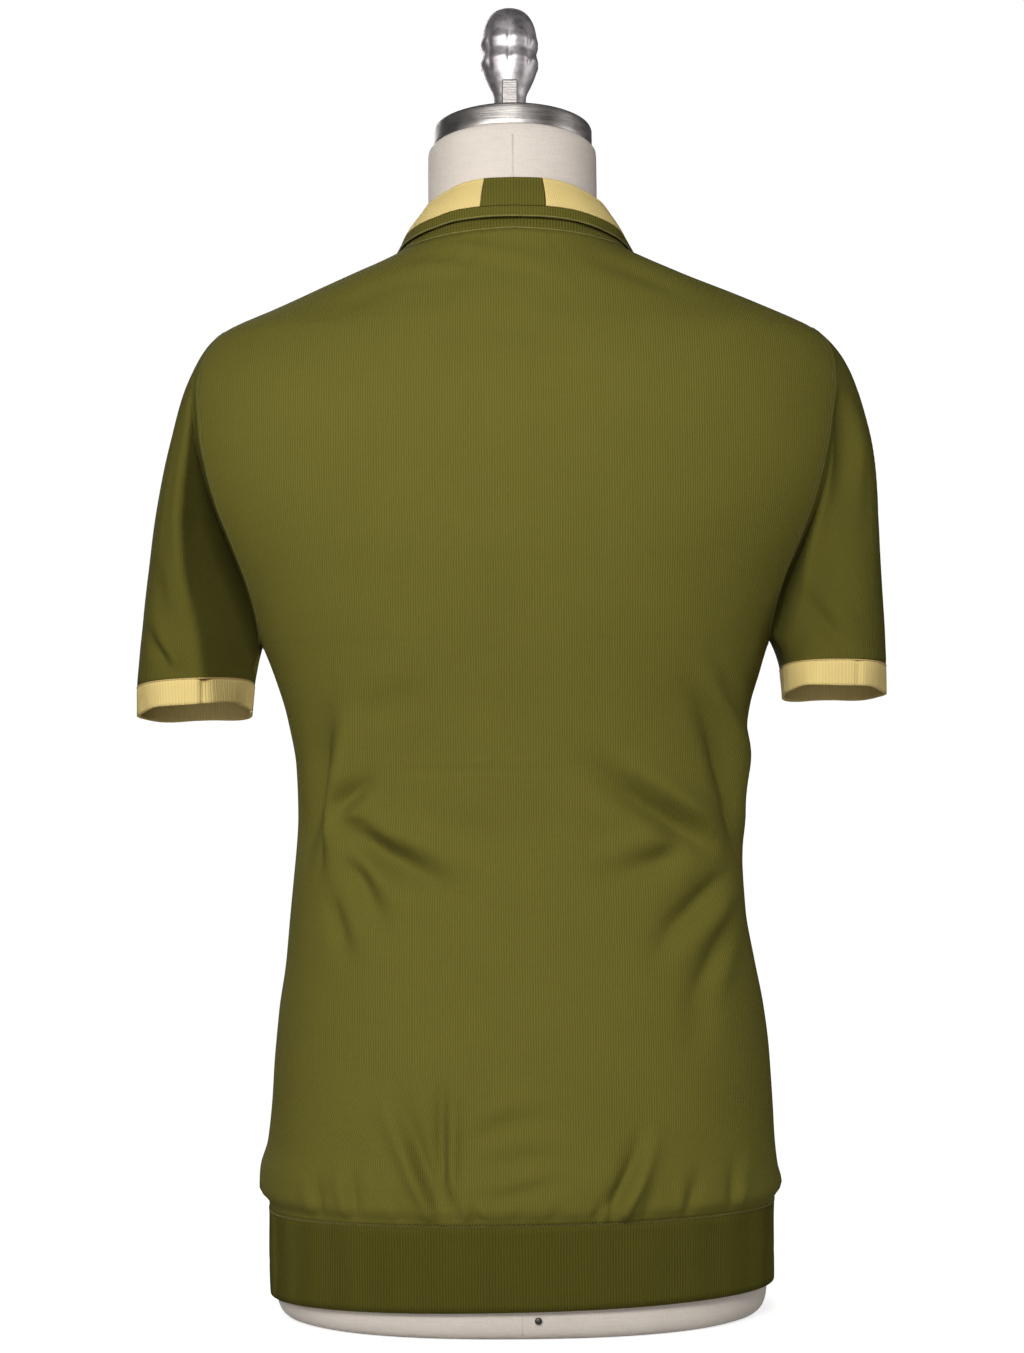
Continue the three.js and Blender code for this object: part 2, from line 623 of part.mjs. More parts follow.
// A strip of the placket: its sides and ends, how far it stands off the surface, its wall.
function placketStrip(low, high, from, to, off, steps) {
  const rows = [];
  const normals = [];
  for (let j = 0; j <= steps; j += 1) {
    const z = from + ((to - from) * j) / steps;
    const row = [];
    const across = [];
    for (let i = 0; i <= 4; i += 1) {
      const turn = frontTurn(low + ((high - low) * i) / 4, z);
      const normal = outward(turn, z);
      row.push(garment(turn, z).addScaledVector(normal, off));
      across.push(normal);
    }
    rows.push(row);
    normals.push(across);
  }
  return wall(rows, normals, PLACKET_WALL);
}

const shirt = new THREE.Group();
const dressForm = new THREE.Group();

function place(name, geometry, look, group = shirt) {
  const mesh = new THREE.Mesh(geometry, new THREE.MeshStandardMaterial(look));
  mesh.name = name;
  group.add(mesh);
  return mesh;
}

// The back and the front
const backPlan = panelPlan(1, 20, 12, 5);
place("back_panel", wall(...draped(backPlan, FOLDS, 2), JERSEY), GREEN);
const frontPlan = panelPlan(-1, 11, 12, 4);
const wholeFront = solid(wall(...draped(frontPlan, FOLDS, 2), JERSEY));
const slit = solid(
  boxBetween([-PLACKET_HALF - SEAM, -160, PLACKET_END - SEAM], [PLACKET_HALF + SEAM, -30, 740]),
);
place("front_panel", fromSolid(wholeFront.subtract(slit)), GREEN);

// The ribbed waistband
const ribRows = [];
const ribNormals = [];
for (let j = 0; j <= 2; j += 1) {
  const row = [];
  const across = [];
  for (let i = 0; i < 48; i += 1) {
    const turn = (2 * Math.PI * i) / 48;
    const low = hem(turn);
    const z = low + (ribSeam(turn) - SEAM / 2 - low) * (j / 2);
    row.push(garment(turn, z));
    across.push(outward(turn, z));
  }
  ribRows.push(row);
  ribNormals.push(across);
}
place("waist_rib", wall(ribRows, ribNormals, RIB, true), DARK_GREEN);

// The sleeves and their cuffs
for (const [name, cuff] of Object.entries(CUFFS)) {
  const [rows, normals] = sleeveSheet(cuff, 24, 10);
  place("sleeve_" + name, wall(rows, normals, JERSEY, true), GREEN);
  const cuffRows = [];
  const cuffNormals = [];
  for (let j = 0; j <= 2; j += 1) {
    const drop = SEAM + ((CUFF_HEIGHT - SEAM) * j) / 2;
    const ring = Array.from({ length: 24 }, (_, i) => cuffRing(cuff, (2 * Math.PI * i) / 24, drop));
    cuffRows.push(ring.map((pair) => pair[0]));
    cuffNormals.push(ring.map((pair) => pair[1]));
  }
  place("cuff_" + name, wall(cuffRows, cuffNormals, RIB, true), YELLOW);
}

// Angles of the neck's columns from the centre back to the collar's end on the left, and on both sides
const leftAngles = [...BACK_TURNS.slice().reverse(), ...FRONT_TURNS.slice(1, -1)].map((turn) => 90 - turn);
const allAngles = [...leftAngles.slice(1).reverse().map((angle) => -angle), ...leftAngles];

// The neckband, open at the placket
const bandRises = [SEAM / 2, NECKBAND_HEIGHT / 2, NECKBAND_HEIGHT];
const bandPlaces = bandRises.map((rise) => allAngles.map((angle) => bandPlace(radians(90 - angle), rise)));
place(
  "neckband",
  wall(bandPlaces.map((row) => row.map((p) => p[0])), bandPlaces.map((row) => row.map((p) => p[1])), COLLAR),
  GREEN,
);

// The collar: yellow halves, the green stripe between them, and the edging along the fall
const yellowAngles = [STRIPE_END + 0.3, ...leftAngles.filter((angle) => angle > STRIPE_END + 1)];
const stripeAngles = allAngles.filter((angle) => Math.abs(angle) < STRIPE_END + 0.1);
place("collar_left", collarWall(yellowAngles, false), YELLOW);
place("collar_right", collarWall(yellowAngles.map((angle) => -angle).reverse(), false), YELLOW);
place("collar_stripe", collarWall(stripeAngles, false), GREEN);
place("collar_edging", collarWall(allAngles, true), GREEN);

// The placket and its buttons
place("placket_under", placketStrip(-PLACKET_HALF, PLACKET_HALF, PLACKET_END, PLACKET_TOP, 0, 12), GREEN);
const upperOff = JERSEY / 2 + SEAM + PLACKET_WALL / 2 + 0.3;
place("placket_upper", placketStrip(-17.5, PLACKET_HALF + 1, PLACKET_END - 2, PLACKET_TOP, upperOff, 12), GREEN);
BUTTON_HEIGHTS.forEach((z, k) => {
  const profile = [
    [0, -1.1], [BUTTON_RADIUS - 0.8, -1.1], [BUTTON_RADIUS, 0.5], [4.8, 1.2], [3.4, 0.7], [0, 0.7],
  ].map(([r, h]) => new THREE.Vector2(r, h));
  const disc = new THREE.LatheGeometry(profile, 14);
  const normal = outward(-Math.PI / 2, z);
  const off = upperOff + PLACKET_WALL / 2 + SEAM + 1.1;
  const mesh = place("button_" + (k + 1), disc, BUTTON);
  mesh.position.copy(garment(-Math.PI / 2, z).addScaledVector(normal, off));
  mesh.quaternion.setFromUnitVectors(new THREE.Vector3(0, 1, 0), normal);
});

// The dress form: torso and neck in one, its top cut square to the leaning neck
const formHeights = [
  0, 1.5, 5, 11, 22, 76, 125, 170, 215, 260, 300, 340, 380, 420, 460, 510, 560, 600, 634, 654, 668, 684, 700, 714,
  725, 736, 748,
];
const rings = formHeights.map((z) =>
  Array.from({ length: 36 }, (_, i) => form((2 * Math.PI * i) / 36, z)),
);
const neckCentre = (z) => -NECK_LEAN * (z - NECK_START);
for (const share of [0.35, 0.7, 0.93, 1]) {
  const inset = share === 1 ? 1.6 : 0;
  rings.push(
    Array.from({ length: 36 }, (_, i) => {
      const turn = (2 * Math.PI * i) / 36;
      const x = (NECK_RADIUS - inset) * Math.cos(turn);
      const slope = (NECK_RADIUS - inset) * Math.sin(turn);
      const top = NECK_TOP + NECK_LEAN * slope;
      const z = 748 + (top - 748) * share;
      return new THREE.Vector3(x, neckCentre(748 + (NECK_TOP - 748) * share) + slope, z);
    }),
  );
}
place("form_torso", stack(rings), LINEN, dressForm);

// The metal cap and the knob stand square to the leaning neck
const lean = Math.atan(NECK_LEAN);
const profileOf = (pairs) => pairs.map(([r, h]) => new THREE.Vector2(r, h));
const cap = place(
  "form_neck_cap",
  new THREE.LatheGeometry(profileOf([[0, 0], [54.4, 0], [55.3, 0.9], [55.3, 14.4], [54.2, 15.6], [0, 17]]), 36),
  METAL,
  dressForm,
);
cap.position.set(0, neckCentre(NECK_TOP) - 0.1, NECK_TOP + SEAM + 0.1);
cap.rotation.x = Math.PI / 2 + lean;

// The knob: radius and height up its axis, with a lug against the back of its stem
const KNOB = [
  [23, 0], [24, 1], [23, 3], [14, 5.5], [11.5, 9], [11.4, 22], [12, 25.5], [14.7, 31.4], [17.2, 37.2], [19.3, 43],
  [20.6, 47], [19.9, 50.5], [19.1, 54.8], [19.9, 58.5], [20.6, 61.5], [19.6, 66.4], [18.6, 72.2], [16.7, 78.1],
  [12.9, 83.9], [8.3, 86.8], [3, 87.8],
];
const knobRings = KNOB.map(([r, h]) =>
  Array.from({ length: 24 }, (_, i) => {
    const turn = (2 * Math.PI * i) / 24;
    return new THREE.Vector3(r * Math.cos(turn), h, r * Math.sin(turn));
  }),
);
const lug = solid(boxBetween([-5.3, 2, -15.2], [5.3, 31.6, -4]));
const knob = place("form_finial", fromSolid(solid(stack(knobRings)).add(lug)), METAL, dressForm);
const knobBase = cap.position
  .clone()
  .addScaledVector(new THREE.Vector3(0, -Math.sin(lean), Math.cos(lean)), 17 + SEAM);
knob.position.set(1.4, knobBase.y, knobBase.z);
knob.rotation.x = Math.PI / 2 + lean;

// The nail low on the back of the form
const nail = place(
  "form_screw",
  new THREE.LatheGeometry(profileOf([[0, 0], [2.2, 0], [2.4, 0.5], [1.6, 1.3], [0, 1.6]]), 16),
  METAL,
  dressForm,
);
const nailTurn = radians(92.4);
const nailFace = form(nailTurn, 13.7);
nail.position.copy(nailFace).add(new THREE.Vector3(0, SEAM + 0.1, 0));

const object = new THREE.Group();
object.add(dressForm, shirt);
export default object;
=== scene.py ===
import math

import bpy
import numpy as np
from mathutils import Matrix, Vector


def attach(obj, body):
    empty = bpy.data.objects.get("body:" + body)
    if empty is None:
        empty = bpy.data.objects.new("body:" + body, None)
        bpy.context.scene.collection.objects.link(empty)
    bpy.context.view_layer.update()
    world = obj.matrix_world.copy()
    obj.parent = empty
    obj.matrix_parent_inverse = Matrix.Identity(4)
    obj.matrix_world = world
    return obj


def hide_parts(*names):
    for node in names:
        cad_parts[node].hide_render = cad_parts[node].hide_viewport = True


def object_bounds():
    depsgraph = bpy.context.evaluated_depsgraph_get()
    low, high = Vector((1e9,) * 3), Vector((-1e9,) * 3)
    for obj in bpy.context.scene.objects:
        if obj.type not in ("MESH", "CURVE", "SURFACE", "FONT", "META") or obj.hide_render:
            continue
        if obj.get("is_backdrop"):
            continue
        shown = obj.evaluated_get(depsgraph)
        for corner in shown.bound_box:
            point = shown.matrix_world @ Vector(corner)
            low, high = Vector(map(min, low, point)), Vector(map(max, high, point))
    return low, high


# A knitted polo shirt seen from the back on a limbless linen dress form
# Lengths are in millimetres in the frame of the part until a mesh is made from them

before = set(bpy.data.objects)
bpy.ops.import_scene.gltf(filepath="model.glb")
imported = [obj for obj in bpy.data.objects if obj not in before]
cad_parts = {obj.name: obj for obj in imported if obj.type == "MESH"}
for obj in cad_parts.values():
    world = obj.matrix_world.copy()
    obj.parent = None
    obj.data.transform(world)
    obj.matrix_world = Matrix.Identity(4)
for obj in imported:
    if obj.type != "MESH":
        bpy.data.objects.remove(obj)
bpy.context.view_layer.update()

# Camera: 85 mm lens, level, 2.2 m behind the shirt, with a slight roll

lens = bpy.data.cameras.new("camera")
lens.lens = 85
lens.sensor_fit = "VERTICAL"
lens.sensor_height = 36
lens.clip_end = 50
camera = bpy.data.objects.new("camera", lens)
bpy.context.scene.collection.objects.link(camera)
camera.rotation_mode = "QUATERNION"
facing = Matrix.Rotation(math.pi, 3, "Z") @ Matrix.Rotation(math.pi / 2, 3, "X")
camera.rotation_quaternion = (facing @ Matrix.Rotation(math.radians(-0.48), 3, "Z")).to_quaternion()
camera.location = (0.0031, 2.2, 0.434)
bpy.context.scene.camera = camera

# Walls, gaps and heights, the same as in the part

JERSEY = 1.4
RIB = 1.8
COLLAR = 1.5
SEAM = 0.3
RIB_SEAM = 76.5
HEM = 20
ARMPIT = 458
SHOULDER_TIP = 669.5
NECKBAND_HEIGHT = 8
CUFF_HEIGHT = 17.5
EDGING = 7
PLACKET_HALF = 16
PLACKET_END = 498
PLACKET_TOP = 699.5
PLACKET_WALL = 1.2
BUTTON_HEIGHTS = [676, 612, 545]
NECK_RADIUS = 58.2
NECK_LEAN = 0.2126
NECK_TOP = 796
NECK_START = 735
ARMHOLE_BACK = 24.5
ARMHOLE_FRONT = 27.5
STRIPE_HALF = 17.4
COLLAR_END = 170
COLLAR_LEAN = 1.06

# Garment sections: height, half width to the wearer's left and right, depth to the back and front, roundness

GARMENT = [
    [0, 171.5, 172.5, 121, 112, 2.3],
    [60, 171.5, 172.5, 121.5, 112, 2.3],
    [77, 172, 173, 122.5, 113, 2.3],
    [87, 178.6, 178.4, 127.5, 118, 2.3],
    [99, 178, 175.6, 127.5, 118, 2.3],
    [118, 172.5, 173.6, 124.5, 116, 2.3],
    [142, 169.8, 172.5, 121.5, 113, 2.3],
    [174, 167.6, 171, 117.5, 111, 2.3],
    [207, 164, 167, 112, 110, 2.3],
    [240, 159, 161, 106.5, 110, 2.3],
    [273, 156, 155.5, 102, 111, 2.3],
    [306, 152.5, 153.5, 98, 112, 2.3],
    [340, 150.2, 155, 95.5, 113, 2.3],
    [372, 151.2, 154.5, 96.5, 115, 2.3],
    [405, 156.5, 157.5, 100, 118, 2.3],
    [438, 166.5, 167, 106, 121, 2.28],
    [458, 174.5, 173.5, 110, 123, 2.25],
    [481, 184, 183, 114, 125, 2.22],
    [500, 193, 192, 116.5, 126, 2.2],
    [525, 206, 206, 119.5, 126.5, 2.2],
    [550, 218, 218, 121, 125.5, 2.2],
    [575, 226, 226, 121.5, 123, 2.16],
    [600, 230, 230.5, 120.5, 118, 2.1],
    [625, 229, 231.5, 116.5, 107, 2.05],
    [640, 225, 229, 112, 97.5, 2],
    [655, 216, 223, 106, 87, 1.93],
    [669, 202.5, 209, 99, 78, 1.87],
    [686, 166, 173, 90, 69, 1.8],
    [703, 127.5, 132.5, 82, 65, 1.8],
    [711, 109, 111.8, 77.5, 64, 1.85],
    [719, 90.2, 92.6, 73, 63.2, 1.9],
    [727, 75.4, 77, 69.2, 62.6, 1.95],
    [734, 70.2, 71.8, 66.3, 62, 2],
    [742, 67.9, 69, 62.6, 61.8, 2],
    [752, 66.5, 67.5, 60.2, 61.6, 2],
]

# Form sections: height, half width, depth to the back and front, roundness. Between hem and chest the form is
# slimmer than the part's, so that the folds have room. The cloth covers it there.

FORM = [
    [0, 158, 108, 101, 2.3],
    [1.5, 162.3, 112.3, 105, 2.3],
    [5, 165.6, 115.4, 107.6, 2.3],
    [11, 167.6, 117.2, 109, 2.3],
    [22, 168.4, 118, 109.3, 2.3],
    [76, 167.6, 117, 108.5, 2.3],
    [120, 164, 112, 108, 2.3],
    [174, 160, 106, 104, 2.3],
    [207, 155, 100, 102, 2.3],
    [240, 148.4, 93, 100.6, 2.3],
    [273, 142.6, 85, 99.4, 2.3],
    [306, 137.6, 79.2, 98.6, 2.3],
    [340, 134.6, 76.4, 99.2, 2.3],
    [372, 135.6, 77.6, 102, 2.3],
    [405, 143, 84.4, 107, 2.3],
    [438, 156, 96, 113, 2.28],
    [470, 169, 109.4, 120.8, 2.24],
    [500, 175, 113.5, 122.6, 2.2],
    [550, 184, 118, 122, 2.2],
    [600, 193, 117.6, 114.6, 2.1],
    [640, 200.5, 109.2, 93, 2],
    [655, 200.5, 103.2, 81.6, 1.93],
    [669, 192.5, 96.2, 72, 1.87],
    [686, 157.5, 86.4, 63, 1.76],
    [703, 118.5, 77.6, 60, 1.7],
    [711, 100, 73.2, 59.4, 1.66],
    [719, 82.5, 69, 59.2, 1.64],
    [727, 69.5, 66.4, 59.2, 1.68],
    [735, 62.7, 62.6, 59.4, 1.82],
    [745, 58.9, 60, 59.6, 1.96],
    [757, 58.2, 58.6, 58.6, 2],
]

# Height of the neck seam by turn round the section: 90 is the centre back, -90 the centre front

NECKLINE = [[-90, 692], [-60, 702], [-30, 716], [0, 726.5], [30, 728.6], [60, 732], [90, 734]]

# The collar by angle from the centre back: its fold (x, y, z), then its lower edge as turn and height on the
# garment's surface, and how far the edge stands off that surface

COLLAR_LINE = [
    [0, 0, 56.6, 766.6, 90, 740, 4.6],
    [15, 16, 54.6, 766.4, 75, 739.8, 4.6],
    [30, 31, 48.6, 764.6, 60, 739, 4],
    [48, 45.6, 37.8, 759.4, 42, 735.8, 3.2],
    [66, 56.8, 23, 753.4, 24, 732, 2.7],
    [90, 62.6, -3, 746, 3, 727, 2.6],
    [110, 61.4, -24, 737.5, -33, 715, 3.4],
    [130, 53.6, -44, 727, -56, 691, 3.8],
    [150, 38, -60, 715.5, -69, 664, 3.8],
    [170, 12, -70.5, 704.5, -79, 641, 3.8],
]

# How each sleeve leaves its armhole: how far at the shoulder, how much further at the back, lean at the cuff

SLEEVE_SWEEP = {"left": (26, 8, -0.08), "right": (35, 10, -0.02)}

# Cuff rings: side, centre x and y, half width, half depth, height, and its slope along x and y

CUFFS = {
    "left": dict(side=1, x=221, y=-4, half=38.9, deep=57, z=427.5, along_x=-0.04, along_y=0.12),
    "right": dict(side=-1, x=-218, y=-4, half=35, deep=56, z=437.5, along_x=0.01, along_y=0.11),
}
CUFF_ROUNDNESS = 2.5

# The ridge down the back of each sleeve as height, x and y: from it the cloth turns in towards the body

SLEEVE_RIDGE = {
    "left": [
        [430, 211, 53], [460, 215, 52], [483, 220, 50], [508, 225.6, 47.4], [540, 228.4, 43.5],
        [568, 226.4, 41],
        [609, 220.8, 38], [640, 217.5, 33],
    ],
    "right": [
        [430, -189, 48], [470, -194, 47], [505, -200, 46.5], [540, -207, 47.5], [575, -214, 48.4],
        [612, -217.5, 44],
        [640, -217.5, 38],
    ],
}
FLANK_SLOPE = 2.2
FLANK_SOFTNESS = 3
FLANK_DEEPEST = 90
FLANK_START = 11
FLANK_FRONT = ([440, 470], [-14, -36])
FLANK_TOP = (655, 25)

# The crease in each cuff: angle round it and depth

CUFF_CREASE = {"left": (1.77, 3), "right": (1.3, 1)}

# Folds of the back and front: face (1 back, -1 front), depth (a negative one is a ridge), width at the start
# and the end, where along it is deepest, lift beside it on the left of its course for someone who looks at
# that face, crispness, and the course as x and z

FOLDS = [
    (1, 12, 8, 9, 0.5, 0.8, 0.3, [[124, 422], [127, 405], [131, 384], [135, 358], [141, 330], [145, 296]]),
    (1, 4.5, 4, 5, 0.45, 0.5, 0.3, [[131, 366], [131, 345], [131, 318], [133, 292]]),
    (1, 9, 7, 6, 0.55, 0.4, 0.2, [[92, 368], [104, 361], [115, 352], [120, 342], [118, 330]]),
    (1, 13, 7, 11, 0.35, 0.5, 0.2, [[116, 336], [104, 328], [90, 318], [76, 311], [56, 300], [34, 284]]),
    (1, 7, 6, 9, 0.35, 0.5, 0.2, [[118, 314], [106, 300], [97, 284], [84, 262]]),
    (1, 4.5, 5, 8, 0.4, 0.4, 0.1, [[127, 292], [119, 265], [109, 238]]),
    (1, 14, 11, 7, 0.7, 0.5, 0.3,
     [[-36, 385], [-52, 372], [-66, 361], [-83, 350], [-102, 338], [-120, 326], [-134, 314]]),
    (1, 11, 8, 7, 0.55, 0.7, 0.4,
     [[-108, 436], [-120, 418], [-131, 398], [-138, 376], [-143, 350], [-144, 322]]),
    (1, 3.4, 4, 5, 0.5, 0.6, 0.4, [[-124, 452], [-138, 432], [-148, 408], [-151, 390]]),
    (1, 7, 12, 8, 0.7, 0.4, 0.1, [[-42, 304], [-66, 305], [-92, 310], [-116, 319]]),
    (1, 9, 7, 10, 0.35, 0.5, 0.3, [[-142, 303], [-131, 292], [-116, 278], [-101, 264], [-84, 240]]),
    (1, 4.6, 5, 9, 0.4, 0.5, 0.2, [[-145, 274], [-126, 240], [-104, 196]]),
    (1, 3, 4, 6, 0.4, 0.5, 0.4, [[-138, 352], [-143, 336], [-147, 318], [-150, 296]]),
    (1, 2.4, 8, 10, 0.5, 0.3, 0, [[-136, 232], [-120, 205], [-110, 180]]),
    (1, 1.8, 12, 12, 0.5, 0.2, 0, [[70, 345], [30, 330], [-10, 322]]),
    (1, 1.6, 12, 12, 0.5, 0.2, 0, [[-20, 352], [-56, 330], [-90, 322]]),
    (1, 2.2, 10, 12, 0.5, 0.4, 0, [[60, 430], [88, 415], [112, 408]]),
    (1, 1.4, 9, 9, 0.5, 0.4, 0, [[-30, 330], [-60, 326], [-86, 336]]),
    (1, 3.6, 2.6, 6, 0.42, 0.8, 0.6, [[80, 712], [60, 717], [42, 716], [20, 710.5], [-6, 703], [-34, 694]]),
    (1, 1.6, 5, 7, 0.5, 0.4, 0.2, [[100, 690], [60, 699], [16, 700], [-20, 697]]),
    (1, 2.4, 5, 7, 0.5, 0.5, 0.2, [[-40, 718], [-60, 711], [-90, 700], [-124, 684]]),
    (1, 1.6, 8, 8, 0.5, 0.3, 0, [[128, 676], [96, 690], [70, 698]]),
    (1, 1.2, 10, 10, 0.5, 0.3, 0, [[90, 660], [40, 664], [-20, 660], [-70, 664]]),
    (1, 4, 3, 6, 0.3, 0.6, 0.5, [[107.8, 77.5], [110.5, 96], [111.5, 122]]),
    (1, 9, 4, 7, 0.3, 0.8, 0.5, [[49.5, 77.5], [56, 97], [63, 114], [69.5, 133], [77, 152], [82, 176]]),
    (1, 8, 3.4, 5, 0.4, -0.8, 0.7, [[43.5, 77.5], [50.5, 104], [51.6, 128], [51.5, 152], [50, 186]]),
    (1, 3.6, 2.4, 4, 0.3, -0.6, 0.5, [[38.5, 77.5], [41.5, 88], [43.5, 106]]),
    (1, 2.6, 2.4, 4, 0.3, -0.6, 0.4, [[23.5, 77.5], [29, 84], [37, 93]]),
    (1, 9, 4, 6, 0.3, -0.9, 0.6, [[-56.5, 77.5], [-61.5, 92], [-69, 107], [-75.5, 124], [-80, 144]]),
    (1, 3, 2.4, 4, 0.3, -0.5, 0.4, [[-46.5, 77.5], [-52, 88], [-58, 98]]),
    (1, 3.2, 3, 7, 0.3, 0.5, 0.3, [[-107, 77.5], [-113, 95], [-120, 116]]),
    (1, 2.8, 3, 6, 0.3, -0.5, 0.4, [[-138, 77.5], [-140, 96], [-141, 122]]),
    (1, 2.8, 3, 6, 0.3, 0.5, 0.4, [[131, 77.5], [134, 92], [136, 112]]),
    (1, 2, 3, 5, 0.3, 0.4, 0.3, [[78, 77.5], [80, 88], [84, 100]]),
    (1, 2, 3, 5, 0.3, 0.4, 0.3, [[-80, 77.5], [-84, 90], [-90, 102]]),
    (1, 1.6, 3, 5, 0.3, 0.4, 0.3, [[4, 77.5], [2, 86], [-4, 94]]),
    (1, 1.6, 3, 5, 0.3, 0.4, 0.3, [[-20, 77.5], [-22, 85], [-30, 93]]),
    (1, 2.8, 6, 8, 0.5, 0.6, 0.2, [[40, 126], [22, 136], [4, 143], [-30, 145]]),
    (1, 2.2, 6, 7, 0.5, 0.5, 0.2, [[40, 112], [16, 117], [-10, 120], [-44, 114]]),
    (1, 2.6, 4, 6, 0.6, 0.5, 0.3, [[40, 98], [14, 96], [-14, 102], [-40, 106]]),
    (1, 0.6, 2.6, 2.6, 0.5, 0.8, 0, [[118, 373.5], [60, 373], [0, 373], [-50, 373.5]]),
    (-1, 7, 6, 10, 0.35, 0.7, 0.2, [[132, 408], [120, 386], [106, 368], [82, 350], [44, 337]]),
    (-1, 6, 5, 10, 0.4, 0.6, 0.2, [[-134, 386], [-122, 366], [-104, 352], [-60, 336]]),
    (-1, 5, 5, 9, 0.4, 0.5, 0.2, [[140, 322], [126, 308], [112, 296], [88, 258]]),
    (-1, 4.4, 5, 9, 0.4, 0.5, 0.2, [[-142, 316], [-124, 292], [-98, 268]]),
    (-1, 3.2, 6, 9, 0.4, 0.4, 0, [[126, 284], [106, 250], [96, 222]]),
    (-1, 2.8, 7, 9, 0.4, 0.4, 0, [[-128, 262], [-112, 226], [-100, 200]]),
    (-1, 3, 8, 8, 0.5, 0.5, 0, [[60, 310], [18, 300], [-30, 306]]),
    (-1, 5, 3, 6, 0.35, 0.6, 0.5, [[-84, 77.5], [-88, 96], [-95, 118], [-98, 146]]),
    (-1, 5, 3, 6, 0.35, -0.6, 0.5, [[62, 77.5], [64, 96], [68, 114], [78, 142]]),
    (-1, 3, 3, 5, 0.3, 0.4, 0.4, [[112, 77.5], [114, 92], [120, 110]]),
    (-1, 3, 3, 5, 0.3, 0.4, 0.4, [[-120, 77.5], [-124, 92], [-128, 112]]),
    (-1, 2.6, 3, 5, 0.3, 0.4, 0.4, [[18, 77.5], [20, 88], [28, 100]]),
    (-1, 2.6, 3, 5, 0.3, -0.4, 0.4, [[-30, 77.5], [-34, 90], [-42, 102]]),
    (-1, 2.2, 5, 7, 0.5, 0.4, 0.1, [[52, 124], [10, 130], [-48, 122]]),
    (-1, 3, 8, 10, 0.4, 0.4, 0, [[150, 500], [120, 480], [80, 470]]),
    (-1, 3, 8, 10, 0.4, 0.4, 0, [[-150, 506], [-118, 482], [-76, 474]]),
]

# Folds of the sleeves, in the same columns

SLEEVE_FOLDS = [
    (1, -2.4, 4, 6, 0.5, 0, 0.8,
     [[217, 640], [220.5, 609], [226.7, 568], [229, 540], [226.8, 508], [221, 483], [216, 460],
      [214.5, 436]]),
    (1, 4.4, 5, 4, 0.65, 0.9, 0.5, [[256, 476], [250, 468], [244, 457], [236, 445], [231, 434]]),
    (1, 2, 6, 6, 0.5, 0.4, 0, [[247, 520], [240, 490], [238, 466]]),
    (1, -2, 4, 6, 0.6, 0, 0.7, [[-216, 612], [-212, 575], [-205, 540], [-198, 505], [-192, 470]]),
    (1, 5, 5, 8, 0.45, 0.5, 0, [[-217, 634], [-219.5, 612], [-222, 592], [-221, 566], [-217, 540]]),
    (1, -3.6, 6, 8, 0.4, 0, 0.4, [[-218, 628], [-226, 606], [-231, 584], [-231, 556], [-229, 520]]),
    (1, -4, 7, 6, 0.5, 0, 0.8, [[-236, 632], [-241, 596], [-245, 560], [-248, 520], [-251, 470]]),
    (1, 4.4, 4, 7, 0.5, 0, 0, [[-243, 618], [-247, 580], [-250, 540], [-253, 490], [-254, 460]]),
    (1, 4.4, 7, 6, 0.55, 0.8, 0.4, [[-190, 500], [-197, 486], [-204, 474], [-216, 458], [-227, 444]]),
    (-1, -5, 11, 12, 0.5, 0, 0, [[222, 620], [226, 560], [222, 500], [214, 438]]),
    (-1, -5, 11, 12, 0.5, 0, 0, [[-222, 620], [-230, 560], [-224, 500], [-216, 446]]),
    (-1, 3, 7, 8, 0.5, 0.5, 0, [[206, 560], [214, 520], [226, 470]]),
    (-1, 3, 7, 8, 0.5, 0.5, 0, [[-208, 566], [-214, 520], [-230, 474]]),
]


def column(table, index):
    """A smooth function of the table's key for one column, without overshoot between the rows."""
    keys = np.array([row[0] for row in table], float)
    values = np.array([row[index] for row in table], float)
    rise = np.diff(values) / np.diff(keys)
    slope = np.zeros(len(keys))
    slope[0] = rise[0]
    slope[-1] = rise[-1]
    before = rise[:-1]
    after = rise[1:]
    same = before * after > 0
    slope[1:-1][same] = 2 * before[same] * after[same] / (before[same] + after[same])

    def value(key):
        key = np.clip(key, keys[0], keys[-1])
        i = np.clip(np.searchsorted(keys, key, side="right") - 1, 0, len(keys) - 2)
        span = keys[i + 1] - keys[i]
        t = (key - keys[i]) / span
        t2 = t * t
        t3 = t2 * t
        ends = values[i] * (2 * t3 - 3 * t2 + 1) + values[i + 1] * (3 * t2 - 2 * t3)
        return ends + span * (slope[i] * (t3 - 2 * t2 + t) + slope[i + 1] * (t3 - t2))

    return value


garment_columns = [column(GARMENT, k) for k in range(1, 6)]
form_columns = [column(FORM, k) for k in range(1, 5)]
neckline_height = column(NECKLINE, 1)
collar_columns = [column(COLLAR_LINE, k) for k in range(1, 7)]


def stacked(*parts):
    return np.stack(np.broadcast_arrays(*parts), axis=-1).astype(float)


def unit(vectors):
    return vectors / np.maximum(np.linalg.norm(vectors, axis=-1, keepdims=True), 1e-9)


def oval(turn, left, right, back, front, roundness):
    """x and y on a rounded section by turn round it."""
    c = np.cos(turn)
    s = np.sin(turn)
    power = 2 / roundness
    x = np.sign(c) * np.where(c > 0, left, right) * np.abs(c) ** power
    y = np.sign(s) * np.where(s > 0, back, front) * np.abs(s) ** power
    return x, y


def garment(turn, z):
    """The smooth surface that the body's cloth follows."""
    x, y = oval(turn, *[value(z) for value in garment_columns])
    return stacked(x, y, z)


def outward(turn, z):
    across = garment(turn + 0.03, z) - garment(turn - 0.03, z)
    up = garment(turn, z + 2) - garment(turn, z - 2)
    return unit(np.cross(across, up))


